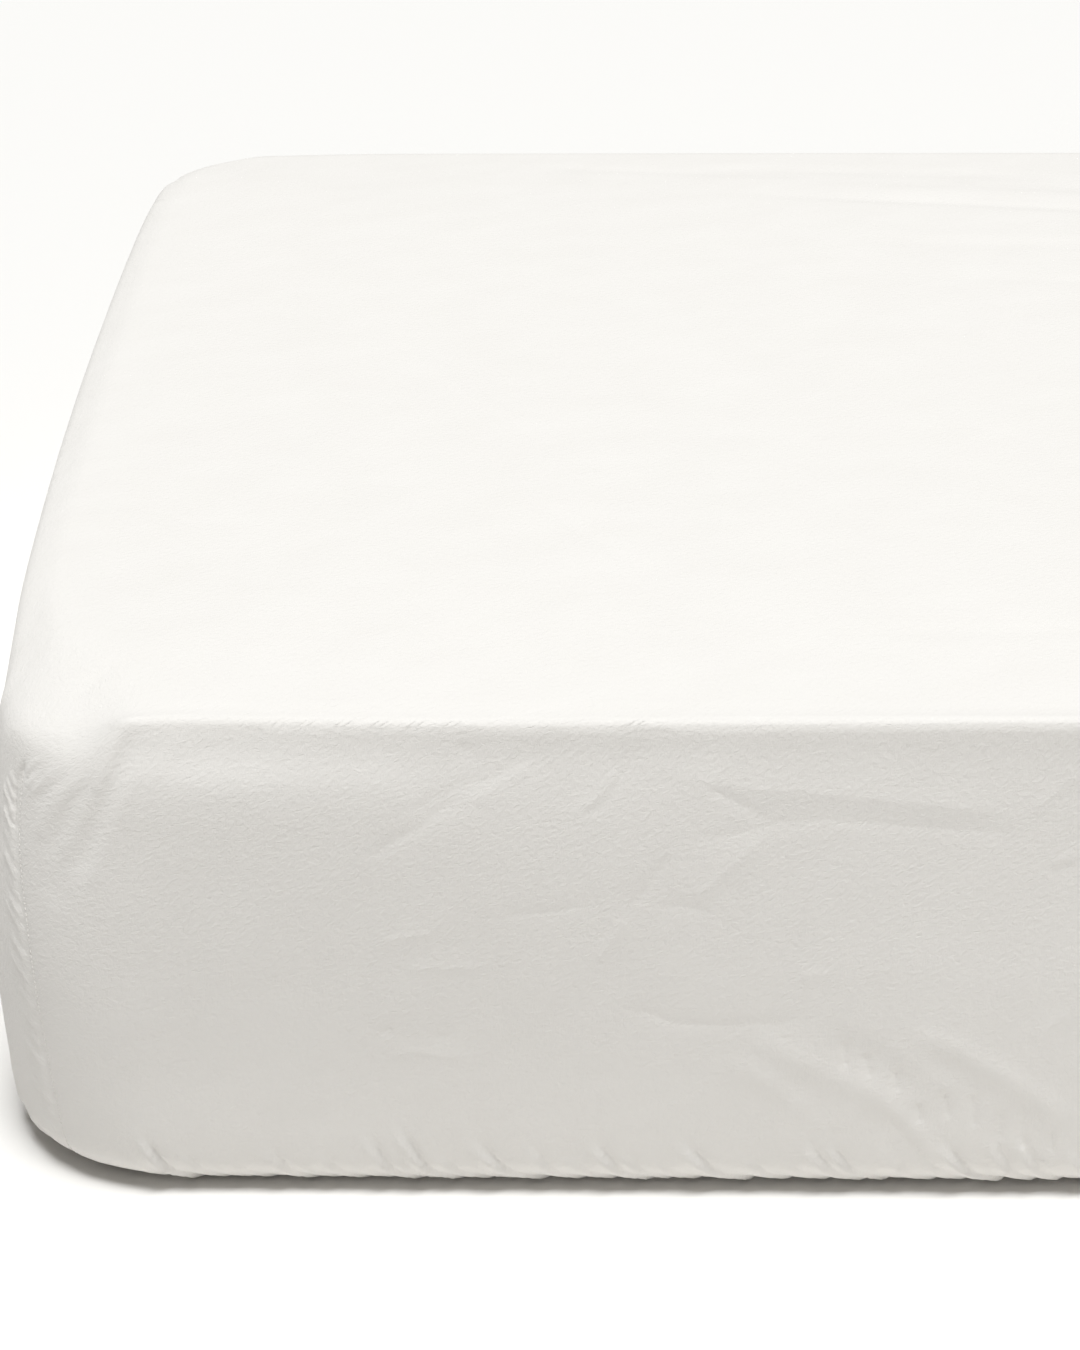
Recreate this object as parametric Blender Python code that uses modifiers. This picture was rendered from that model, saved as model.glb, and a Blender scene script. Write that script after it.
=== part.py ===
"""A fitted sheet stretched over a plain single mattress that rests on the ground.

Metres, +Z up. The origin is on the ground under the middle of the mattress. +X runs along the
mattress and -Y is its long front side. The sheet is one cross-shaped cut of cloth: a top panel
with a drop on each of its four sides. A dart seam closes every corner, and the gathered hem
turns flat under the mattress.
"""
import math
from collections import namedtuple

import bmesh
import bpy
from mathutils import Vector

# Driving dimensions, in metres
LENGTH = 1.905              # along X, between the plumb lines of the two ends
WIDTH = 0.990               # along Y, between the plumb lines of the two long sides
CORNER_RADIUS = 0.080       # of the plan outline
END_BOW = 0.014             # how far the corners lie behind the middle of an end
FRONT_BOW = 0.004           # how far the corners lie behind the middle of a long side
CROWN = 0.006               # rise of the top from its edge to its middle
CROWN_REACH = 0.24          # distance from the edge over which the top rises
SHEET_THICKNESS = 0.0015
MATTRESS_GAP = 0.0035       # between the sheet's inner face and the mattress
CORNER_REACH = 0.17         # distance from a seam over which the corner's softer section fades out
SEAM_SWING_TOP = 0.085      # radians that a seam lies round onto the short side, at the top
SEAM_SWING_HEM = -0.060     # the same at the hem, where it comes back onto the long side
SEAM_VALLEY = 0.0012        # depth of the valley that a seam pulls into the cloth
SEAM_VALLEY_WIDTH = 0.012

# One row for each line that runs round the sheet, from the edge of the top down to the hem:
# how far it stands proud of the plumb line, and its height, at mid side and at a corner.
Line = namedtuple("Line", "name side_proud side_height corner_proud corner_height")
SECTION = (
    Line("edge of the top", -0.0195, 0.2970, -0.0246, 0.2965),
    Line("shoulder", -0.0052, 0.2918, -0.0066, 0.2903),
    Line("foot of the shoulder", 0.0000, 0.2775, 0.0000, 0.2724),
    Line("under the roll", -0.0004, 0.2630, 0.0010, 0.2560),
    Line("upper wall", 0.0050, 0.2380, 0.0060, 0.2320),
    Line("above the bulge", 0.0124, 0.1900, 0.0120, 0.1880),
    Line("bulge", 0.0157, 0.1350, 0.0155, 0.1350),
    Line("below the bulge", 0.0138, 0.0800, 0.0140, 0.0820),
    Line("start of the turn", 0.0082, 0.0330, 0.0112, 0.0370),
    Line("turn", 0.0042, 0.0142, 0.0068, 0.0175),
    Line("under edge", -0.0082, 0.0026, -0.0058, 0.0056),
    Line("start of the tuck", -0.0250, 0.0000, -0.0280, 0.0000),
    Line("hem", -0.0660, 0.0000, -0.0660, 0.0000),
)
HEM_ROW = len(SECTION) - 1
TURN_ROW = 8                # the cloth is gathered from this line down
UNDER_ROW = 10              # its waves only run in and out from this line on
TUCK_ROW = 11               # and it lies flat from this line on

# Spacing of the panel's grid lines, as distances from a seam to the middle of a side
LONG_SIDE_LINES = (0.032, 0.064, 0.110, 0.180, 0.270, 0.370, 0.480, 0.590, 0.700, 0.815)
SHORT_SIDE_LINES = (0.032, 0.064, 0.120, 0.200, 0.290, 0.380)
MATTRESS_LONG_LINES = (0.036, 0.072, 0.300, 0.620)
MATTRESS_SHORT_LINES = (0.036, 0.072, 0.270)
MATTRESS_ROWS = (0, 1, 2, 4, 6, 8, 9, 10, 11)

# Soft folds of a side: where each starts and ends, as the distance from the side's left seam
# and the distance below the top, then its half width and its height (less than 0: a trough).
Fold = namedtuple("Fold", "from_along from_down to_along to_down half_width height")
FRONT_FOLDS = (
    Fold(0.020, 0.045, 0.100, 0.005, 0.012, 0.0016),
    Fold(0.035, 0.110, 0.120, 0.010, 0.016, 0.0022),
    Fold(0.070, 0.150, 0.190, 0.015, 0.020, 0.0014),
    Fold(0.200, 0.080, 0.320, 0.015, 0.020, 0.0018),
    Fold(0.300, 0.075, 0.350, 0.020, 0.018, 0.0014),
    Fold(0.360, 0.030, 0.620, 0.052, 0.018, 0.0030),
    Fold(0.400, 0.080, 0.640, 0.085, 0.018, -0.0012),
    Fold(0.420, 0.190, 0.540, 0.270, 0.022, 0.0022),
    Fold(0.490, 0.180, 0.640, 0.270, 0.026, 0.0028),
    Fold(0.620, 0.170, 0.760, 0.260, 0.026, 0.0024),
    Fold(0.900, 0.040, 1.160, 0.070, 0.024, 0.0020),
    Fold(1.250, 0.230, 1.420, 0.130, 0.028, 0.0022),
    Fold(1.560, 0.020, 1.700, 0.110, 0.022, 0.0022),
    Fold(1.720, 0.012, 1.815, 0.120, 0.016, 0.0022),
)
BACK_FOLDS = (
    Fold(0.040, 0.115, 0.125, 0.012, 0.016, 0.0022),
    Fold(0.130, 0.120, 0.260, 0.020, 0.022, 0.0016),
    Fold(0.430, 0.060, 0.700, 0.045, 0.022, 0.0022),
    Fold(0.780, 0.260, 0.930, 0.160, 0.028, 0.0024),
    Fold(1.180, 0.180, 1.340, 0.265, 0.026, 0.0024),
    Fold(1.480, 0.030, 1.640, 0.075, 0.022, 0.0018),
    Fold(1.735, 0.014, 1.820, 0.125, 0.016, 0.0022),
)
END_FOLDS = (
    Fold(0.028, 0.120, 0.105, 0.012, 0.016, 0.0022),
    Fold(0.120, 0.150, 0.230, 0.040, 0.022, 0.0016),
    Fold(0.330, 0.250, 0.450, 0.170, 0.026, 0.0022),
    Fold(0.520, 0.060, 0.690, 0.045, 0.020, 0.0018),
    Fold(0.700, 0.240, 0.780, 0.150, 0.022, 0.0018),
    Fold(0.830, 0.014, 0.900, 0.110, 0.016, 0.0022),
)
FADE_START = 0.08           # share of a fold's length by which its ends don't fade any further
DEEPEST_TROUGH = -0.0012    # the cloth never comes nearer to the mattress than this

# The hem's gathers: whole numbers of waves round the hem, their heights, and their unevenness
GATHER_WAVES = 67
GATHER_HEIGHT = 0.0022
SLOW_WAVES = 43
SLOW_HEIGHT = 0.0014
SLOW_PHASE = 0.7
SWAY_WAVES = 9
SWAY = 1.3
GATHER_SHARES = {8: 0.35, 9: 0.8, 10: 1.0, 11: 0.8, 12: 1.4}     # by line of SECTION

SHEET_COLOUR = (0.84, 0.83, 0.80, 1.0)
SHEET_ROUGHNESS = 0.9
MATTRESS_COLOUR = (0.72, 0.71, 0.69, 1.0)
MATTRESS_ROUGHNESS = 0.95
SHARP_ANGLE = math.radians(50)
MERGE_DISTANCE = 0.0001     # the cut's edges meet this closely along a seam

# The four sides in order round the mattress: direction along it from its left seam to its
# right seam as seen from outside, outward direction, half length, half depth and folds.
Side = namedtuple("Side", "along out half_length half_depth seam_sign folds")
SIDES = {
    "front": Side(Vector((1, 0, 0)), Vector((0, -1, 0)), LENGTH / 2, WIDTH / 2, 1, FRONT_FOLDS),
    "right": Side(Vector((0, 1, 0)), Vector((1, 0, 0)), WIDTH / 2, LENGTH / 2, -1, END_FOLDS),
    "back": Side(Vector((-1, 0, 0)), Vector((0, 1, 0)), LENGTH / 2, WIDTH / 2, 1, BACK_FOLDS),
    "left": Side(Vector((0, -1, 0)), Vector((-1, 0, 0)), WIDTH / 2, LENGTH / 2, -1, END_FOLDS),
}


def eased(value):
    """Smooth step from 0 to 1."""
    value = min(max(value, 0.0), 1.0)
    return value * value * (3.0 - 2.0 * value)


def mixed(start, end, share):
    return start + (end - start) * share


def fold_height(fold, along, down):
    """Height of one soft fold: round across, and fading out towards both its ends."""
    run = Vector((fold.to_along - fold.from_along, fold.to_down - fold.from_down))
    here = Vector((along - fold.from_along, down - fold.from_down))
    share = here.dot(run) / run.length_squared
    aside = (here - run * min(max(share, 0.0), 1.0)).length
    fade = math.sin(math.pi * min(max(share, FADE_START), 1.0 - FADE_START))
    return fold.height * fade * math.exp(-(aside / fold.half_width) ** 2)


def gathers(turn):
    """Uneven wave of the elastic hem; turn is the share of the way round it, from 0 to 1."""
    angle = 2.0 * math.pi * turn
    quick = math.sin(GATHER_WAVES * angle + SWAY * math.sin(SWAY_WAVES * angle))
    return GATHER_HEIGHT * quick + SLOW_HEIGHT * math.sin(SLOW_WAVES * angle + SLOW_PHASE)


def section_point(row, corner):
    """Proud distance and height of a line of the section; corner is 1 at a seam, 0 mid side."""
    line = SECTION[row]
    proud = mixed(line.side_proud, line.corner_proud, corner)
    height = mixed(line.side_height, line.corner_height, corner)
    return Vector((proud, height))


def section_normal(row, corner):
    """Outward direction across the cloth at a line of the section, as proud and height."""
    if row >= TUCK_ROW:
        return Vector((0.0, -1.0))
    run = (section_point(row + 1, corner) - section_point(row - 1, corner)).normalized()
    return Vector((-run.y, run.x))


def plan_point(side, proud, share, row, inset=0.0):
    """Place and outward direction on the plan outline moved out by proud.

    share runs from -1 at the side's left seam to 1 at its right seam.
    """
    swing = mixed(SEAM_SWING_TOP, SEAM_SWING_HEM, eased(row / HEM_ROW))
    swing *= side.seam_sign * max(1.0 - inset / CORNER_RADIUS, 0.0)
    radius = max(CORNER_RADIUS + proud, 0.0)
    straight = side.half_length - CORNER_RADIUS + min(CORNER_RADIUS + proud, 0.0)
    seam_angle = math.pi / 4 + swing
    reach = abs(share) * (straight + radius * seam_angle)
    angle = (reach - straight) / radius if reach > straight and radius > 0 else 0.0
    along = min(reach, straight) + radius * math.sin(angle)
    out = side.half_depth - CORNER_RADIUS + min(CORNER_RADIUS + proud, 0.0) + radius * math.cos(angle)
    sign = math.copysign(1.0, share)
    place = side.along * (sign * along) + side.out * out
    outward = side.along * (sign * math.sin(angle)) + side.out * math.cos(angle)
    return place, outward


def bowed(place):
    """Draw the corners in, so that each side bows out a little in plan."""
    end_share = (place.y / (WIDTH / 2)) ** 2 * END_BOW / (LENGTH / 2)
    front_share = (place.x / (LENGTH / 2)) ** 2 * FRONT_BOW / (WIDTH / 2)
    return Vector((place.x * (1 - end_share), place.y * (1 - front_share), place.z))


def top_place(side, share, inset):
    """Place on the crowned top, at a distance in from its edge."""
    line = SECTION[0]
    half = side.half_length
    from_seam = (1 - abs(share)) * half
    corner = (1 - eased(from_seam / CORNER_REACH)) * (1 - eased(inset / CORNER_REACH))
    edge = section_point(0, corner)
    place, outward = plan_point(side, mixed(line.side_proud, edge.x, corner) - inset, share, 0, inset)
    rise = 1 - (1 - min(inset / CROWN_REACH, 1.0)) ** 2
    place.z = edge.y + CROWN * rise
    return bowed(place), Vector((0, 0, 1))


def wall_place(name, share, row, with_folds):
    """Place and outward normal on a drop of the sheet, at one line of the section."""
    side = SIDES[name]
    width = 2 * side.half_length
    along = (share + 1) * side.half_length
    from_seam = min(along, width - along)
    corner = 1 - eased(from_seam / CORNER_REACH)
    point = section_point(row, corner)
    normal_2d = section_normal(row, corner)
    height = 0.0
    if with_folds:
        down = SECTION[0].side_height - point.y
        height = sum(fold_height(fold, along, down) for fold in side.folds)
        height *= eased(from_seam / (2 * SEAM_VALLEY_WIDTH))
        height -= SEAM_VALLEY * math.exp(-(from_seam / SEAM_VALLEY_WIDTH) ** 2)
        height = max(height, DEEPEST_TROUGH)
        turn = (list(SIDES).index(name) + (share + 1) / 2) / len(SIDES)
        gather = gathers(turn) * GATHER_SHARES.get(row, 0.0)
        if row >= UNDER_ROW:
            point.x += gather
            height = 0.0
        else:
            height += max(gather, DEEPEST_TROUGH)
    place, outward = plan_point(side, point.x, share, row)
    place.z = point.y
    normal = outward * normal_2d.x + Vector((0, 0, normal_2d.y))
    place = bowed(place) + normal * height
    return place, normal


def spread_lines(from_seam, half_span):
    """Grid lines over a whole side, as shares from -1 to 1, from distances to a seam."""
    near = [-1.0] + [distance / half_span - 1 for distance in from_seam]
    return near + [0.0] + [-share for share in reversed(near)]


def interpolated(values, index):
    low = min(max(int(math.floor(index)), 0), len(values) - 2)
    return mixed(values[low], values[low + 1], index - low)


def drape(long_index, short_index, long_lines, short_lines, rows, with_folds):
    """Move one point of the flat cross-shaped cut onto the mattress.

    The indices count grid lines: 0 and the last line are the edges of the top, and lines
    beyond them are rows of a drop.
    """
    last_long = len(long_lines) - 1
    last_short = len(short_lines) - 1
    row_long = max(-long_index, long_index - last_long, 0)
    row_short = max(-short_index, short_index - last_short, 0)
    if row_short > 0:
        name = "front" if short_index < 0 else "back"
        share = interpolated(long_lines, min(max(long_index, 0), last_long))
        share = share if name == "front" else -share
        return wall_place(name, share, rows[round(row_short)], with_folds)
    if row_long > 0:
        name = "left" if long_index < 0 else "right"
        share = interpolated(short_lines, min(max(short_index, 0), last_short))
        share = share if name == "right" else -share
        return wall_place(name, share, rows[round(row_long)], with_folds)
    flat = Vector((interpolated(long_lines, long_index) * LENGTH / 2,
                   interpolated(short_lines, short_index) * WIDTH / 2))
    inset_long = LENGTH / 2 - abs(flat.x)
    inset_short = WIDTH / 2 - abs(flat.y)
    inset = min(inset_long, inset_short)
    if inset_short <= inset_long:
        name = "front" if flat.y < 0 else "back"
        share = flat.x / (LENGTH / 2 - inset)
        share = share if name == "front" else -share
    else:
        name = "left" if flat.x < 0 else "right"
        share = flat.y / (WIDTH / 2 - inset)
        share = share if name == "right" else -share
    return top_place(SIDES[name], share, inset)


def flat_cut(long_lines, short_lines, row_count, halved_rows):
    """Flat grid of the cross-shaped cut, with finer columns from each of halved_rows down."""
    last_long = len(long_lines) - 1
    last_short = len(short_lines) - 1
    columns = last_long + 2 * row_count
    lanes = last_short + 2 * row_count
    cut = bmesh.new()
    bmesh.ops.create_grid(cut, x_segments=columns, y_segments=lanes, size=0.5)
    for vert in cut.verts:
        vert.co.x = round((vert.co.x + 0.5) * columns) - row_count
        vert.co.y = round((vert.co.y + 0.5) * lanes) - row_count

    def beyond(value, last):
        return max(-value, value - last, 0)

    corner_squares = []
    for face in cut.faces:
        centre = face.calc_center_median()
        if beyond(centre.x, last_long) > 0 and beyond(centre.y, last_short) > 0:
            corner_squares.append(face)
    bmesh.ops.delete(cut, geom=corner_squares, context="FACES")
    for first_row in halved_rows:
        across = []
        for edge in cut.edges:
            start, end = (vert.co for vert in edge.verts)
            on_short_drop = min(beyond(start.y, last_short), beyond(end.y, last_short)) >= first_row
            on_long_drop = min(beyond(start.x, last_long), beyond(end.x, last_long)) >= first_row
            if on_short_drop and start.y == end.y or on_long_drop and start.x == end.x:
                across.append(edge)
        bmesh.ops.subdivide_edges(cut, edges=across, cuts=1)
    return cut


def new_object(collection, name, mesh_source, material):
    mesh = bpy.data.meshes.new(name)
    mesh_source.to_mesh(mesh)
    mesh_source.free()
    mesh.materials.append(material)
    mesh.shade_smooth()
    mesh.set_sharp_from_angle(angle=SHARP_ANGLE)
    made = bpy.data.objects.new(name, mesh)
    collection.objects.link(made)
    return made


def plain_material(name, colour, roughness):
    material = bpy.data.materials.new(name)
    material.use_nodes = True
    shader = material.node_tree.nodes["Principled BSDF"]
    shader.inputs["Base Color"].default_value = colour
    shader.inputs["Roughness"].default_value = roughness
    shader.inputs["Metallic"].default_value = 0.0
    return material


def make_sheet(collection):
    """The whole sheet: the flat cut draped over the mattress, seamed at its corners."""
    long_lines = spread_lines(LONG_SIDE_LINES, LENGTH / 2)
    short_lines = spread_lines(SHORT_SIDE_LINES, WIDTH / 2)
    rows = range(len(SECTION))
    cut = flat_cut(long_lines, short_lines, HEM_ROW, halved_rows=(1, TURN_ROW))
    for vert in cut.verts:
        vert.co, _ = drape(vert.co.x, vert.co.y, long_lines, short_lines, rows, with_folds=True)
    bmesh.ops.remove_doubles(cut, verts=cut.verts, dist=MERGE_DISTANCE)
    cloth = plain_material("washed_cotton", SHEET_COLOUR, SHEET_ROUGHNESS)
    sheet = new_object(collection, "fitted_sheet", cut, cloth)
    solidify = sheet.modifiers.new("cloth_thickness", "SOLIDIFY")
    solidify.thickness = SHEET_THICKNESS
    solidify.offset = -1.0
    solidify.use_even_offset = True


def make_mattress(collection):
    """The plain mattress: the same form, drawn in so that the sheet clears it all over."""
    long_lines = spread_lines(MATTRESS_LONG_LINES, LENGTH / 2)
    short_lines = spread_lines(MATTRESS_SHORT_LINES, WIDTH / 2)
    clearance = SHEET_THICKNESS + MATTRESS_GAP
    body = flat_cut(long_lines, short_lines, len(MATTRESS_ROWS) - 1, halved_rows=())
    for vert in body.verts:
        place, normal = drape(vert.co.x, vert.co.y, long_lines, short_lines, MATTRESS_ROWS, with_folds=False)
        vert.co = place - normal * clearance
    bmesh.ops.remove_doubles(body, verts=body.verts, dist=MERGE_DISTANCE)
    underside = [edge for edge in body.edges if edge.is_boundary]
    bmesh.ops.contextual_create(body, geom=underside)
    bmesh.ops.recalc_face_normals(body, faces=body.faces)
    ticking = plain_material("mattress_ticking", MATTRESS_COLOUR, MATTRESS_ROUGHNESS)
    new_object(collection, "mattress", body, ticking)


def main():
    for old in list(bpy.data.objects):
        bpy.data.objects.remove(old, do_unlink=True)
    collection = bpy.data.collections.new("fitted_sheet_on_mattress")
    bpy.context.scene.collection.children.link(collection)
    make_mattress(collection)
    make_sheet(collection)


main()
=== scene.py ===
import math
import random
from collections import namedtuple
from functools import partial

import bmesh
import bpy
import numpy as np
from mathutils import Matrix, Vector


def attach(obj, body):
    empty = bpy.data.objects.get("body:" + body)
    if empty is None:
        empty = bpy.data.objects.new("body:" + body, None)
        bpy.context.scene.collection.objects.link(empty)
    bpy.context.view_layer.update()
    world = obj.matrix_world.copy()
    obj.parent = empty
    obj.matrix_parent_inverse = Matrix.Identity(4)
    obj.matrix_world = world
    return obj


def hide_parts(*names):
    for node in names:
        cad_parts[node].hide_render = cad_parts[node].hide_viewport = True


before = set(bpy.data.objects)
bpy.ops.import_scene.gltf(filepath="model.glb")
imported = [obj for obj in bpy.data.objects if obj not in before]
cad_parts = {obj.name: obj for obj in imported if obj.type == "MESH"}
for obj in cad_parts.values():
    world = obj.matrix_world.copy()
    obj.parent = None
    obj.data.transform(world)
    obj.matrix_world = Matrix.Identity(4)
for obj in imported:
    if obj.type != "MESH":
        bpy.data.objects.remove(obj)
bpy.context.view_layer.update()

# Sizes of the mattress and its sheet, in metres. The origin is on the ground under the middle
# of the mattress, +X runs along it and -Y is its long front side.
LENGTH = 1.905  # between the plumb lines of the two ends
WIDTH = 0.990  # between the plumb lines of the two long sides
CORNER_RADIUS = 0.080
END_BOW = 0.014  # how much further out an end lies in its middle than by its corners
FRONT_BOW = 0.004  # the same for a long side
CROWN = 0.006  # how much higher than its edge the top lies
CROWN_REACH = 0.24  # from this far in
CORNER_REACH = 0.17  # how far from a corner its own shape reaches
EDGE_REACH = 0.40  # how far in the top gives up the slack of its rounded edge
# How far a corner seam lies round onto the short side, by the drop below the top's edge
SEAM_DROPS = (0.000, 0.030, 0.055, 0.080, 0.110, 0.138, 0.163, 0.192, 0.225, 0.265, 0.300, 0.330)
SEAM_SWINGS = (0.080, 0.120, 0.168, 0.160, 0.115, 0.060, 0.022, -0.010, -0.035, -0.073, -0.095, -0.095)
SWING_REACH = 0.12  # how far from the seam the cloth goes round with it
# The front's edge is tighter than the others: how much further out its cloth lies near its left
# seam, with what is added by that corner, and from EVEN_FROM on; and how much further up
FRONT_EDGE_DROPS = (0.000, 0.007, 0.0153, 0.0242, 0.034, 0.046, 0.062)
FRONT_EDGE_OUT_LEFT = (0.0, 0.0014, 0.0020, 0.0006, 0.0008, 0.0009, 0.0)
FRONT_EDGE_OUT_CORNER = (0.0, -0.0018, -0.0040, -0.0030, -0.0016, -0.0004, 0.0)
FRONT_EDGE_OUT_EVEN = (0.0, 0.0014, 0.0020, 0.0006, 0.0001, 0.0, 0.0)
FRONT_EDGE_UP = (0.0, 0.0010, 0.0036, 0.0046, 0.0026, 0.0, 0.0)
# Below its edge the front is flatter than the sides: how much further out, by the drop, up to
# LEFT_UNTIL from its left seam and from EVEN_FROM on
FRONT_FLAT_DROPS = (0.000, 0.0348, 0.0688, 0.1191, 0.1743, 0.2293, 0.2770, 0.2963, 0.330)
FRONT_FLAT_LEFT = (0.0, 0.0, 0.0018, -0.0012, -0.0042, -0.0036, 0.0014, 0.0016, 0.0)
FRONT_FLAT_EVEN = (0.0, 0.0, -0.0023, -0.0043, -0.0045, -0.0021, 0.0028, 0.0026, 0.0)
LEFT_UNTIL = 0.16
EVEN_FROM = 0.62
FLAT_START = (0.015, 0.095)  # distances from a seam between which that comes in
BY_CORNER = (0.08, 0.22)  # distances from the left seam between which the corner's share ends
EDGE_RISE_CORNER = 0.75  # how many times higher the front's tight edge is: by the corner,
EDGE_RISE_LEFT = 0.90  # beside it and from EVEN_FROM on
EDGE_RISE_EVEN = 1.70
EDGE_REACH_DROPS = (0.000, 0.012, 0.030, 0.050)  # and how far from a seam it takes the corner's shape
EDGE_CORNER_REACH = (0.170, 0.056, 0.056, 0.110)
# How much lower the cloth lies where a corner's dart pulls it down, by the signs of the corner's
# x and y
CORNER_SLUMPS = {(-1, -1): 0.010, (1, -1): 0.006, (1, 1): 0.005, (-1, 1): 0.001}
SLUMP_REACH = 0.042
# There the cloth also lies on soft slopes that cut into the edge: the way each one faces, how far
# below the edge it meets the seam, how gently it starts, and how far from the short side it begins
# to fade; and a corner's share of that depth
CORNER_SLOPES = (
    ((0.47, 0.20, 0.86), 0.0240, 0.0035, 0.058),
    ((0.300, 0.620, 0.725), 0.0265, 0.0050, 0.058),
    ((0.36, 0.22, 0.906), 0.0300, 0.0035, 0.004),
)
SLOPE_FADE = 0.034
SLOPE_SLANT = 0.60  # how much sooner they fade further down, for each metre of height
CORNER_SHARES = {(-1, -1): 1.0, (1, -1): 0.7, (1, 1): 0.6, (-1, 1): 0.2}
# The bevel along the left end's edge
BEVEL_START = (-LENGTH / 2 + 0.0215, 0.2975)
BEVEL_FACING = (-0.45, 0.0, 0.893)
BEVEL_SOFTNESS = 0.0012
EXCESS_LIMIT = 30  # keeps the soft border's exponential in range
EDGE_HEIGHT = 0.2903  # of a corner; the slopes' depths are measured from here
INNER_FACE = 0.0031  # from the smooth drape in to the cloth's inner face
MATTRESS_CLEARANCE = 0.0052  # between the smooth drape and the mattress
MATTRESS_BASE = 0.0050  # height of the mattress's flat underside
LOWEST = 0.0002  # no piece reaches lower than this
NORMAL_STEP = 0.0006  # how far apart the drape is read for its normal

# Lines round the sheet, from the edge of the top down to the hem: proud of the plumb line and
# height, at mid side and at a corner.
Line = namedtuple("Line", "side_proud side_height corner_proud corner_height")
SECTION = (
    Line(-0.0195, 0.2970, -0.0246, 0.2965),
    Line(-0.0050, 0.2920, -0.0066, 0.2903),
    Line(-0.0010, 0.2840, -0.0022, 0.2800),
    Line(0.0003, 0.2735, 0.0003, 0.2675),
    Line(0.0058, 0.2400, 0.0056, 0.2340),
    Line(0.0118, 0.1900, 0.0120, 0.1880),
    Line(0.0157, 0.1350, 0.0155, 0.1350),
    Line(0.0146, 0.0800, 0.0140, 0.0820),
    Line(0.0088, 0.0330, 0.0112, 0.0370),
    Line(0.0042, 0.0142, 0.0068, 0.0175),
    Line(-0.0082, 0.0026, -0.0058, 0.0056),
    Line(-0.0250, 0.0004, -0.0280, 0.0006),
    Line(-0.0560, 0.0010, -0.0560, 0.0010),
)
SAMPLES_PER_LINE = 24
DROP_SAMPLES = 8  # samples between two values that are given by the drop,
PATH_SAMPLES = 6  # between two places of a crease's path,
ROUGH_SAMPLES = 3  # and where only its distance is wanted
ON_LINE = 1e-6  # nearer than this is on the line
TURN_LINE = 8  # line of SECTION where the drop turns in at the bottom
UNDER_LINE = 10  # and where it faces the ground

# Folds and creases, listed one by one: half width, height and the places along the path, all in
# millimetres. On a side, a place is (along, drop): the distance from the side's left seam as
# seen from outside, and the distance down the cloth from the top's edge. On the top it is
# (x, y). A height less than 0 is a trough. far_width is the half width on the right hand of the
# path, where it differs.
Crease = namedtuple("Crease", "half_width height path far_width keen", defaults=(None, False))


def soft(half_width, height, *path, far_width=None, keen=False):
    """A crease from sizes and places in millimetres."""
    return Crease(half_width / 1000, height / 1000, tuple((u / 1000, v / 1000) for u, v in path),
                  far_width and far_width / 1000, keen)


def keen(half_width, height, *path, far_width=None):
    """The same with a sharp line instead of a round one."""
    return soft(half_width, height, *path, far_width=far_width, keen=True)


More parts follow.
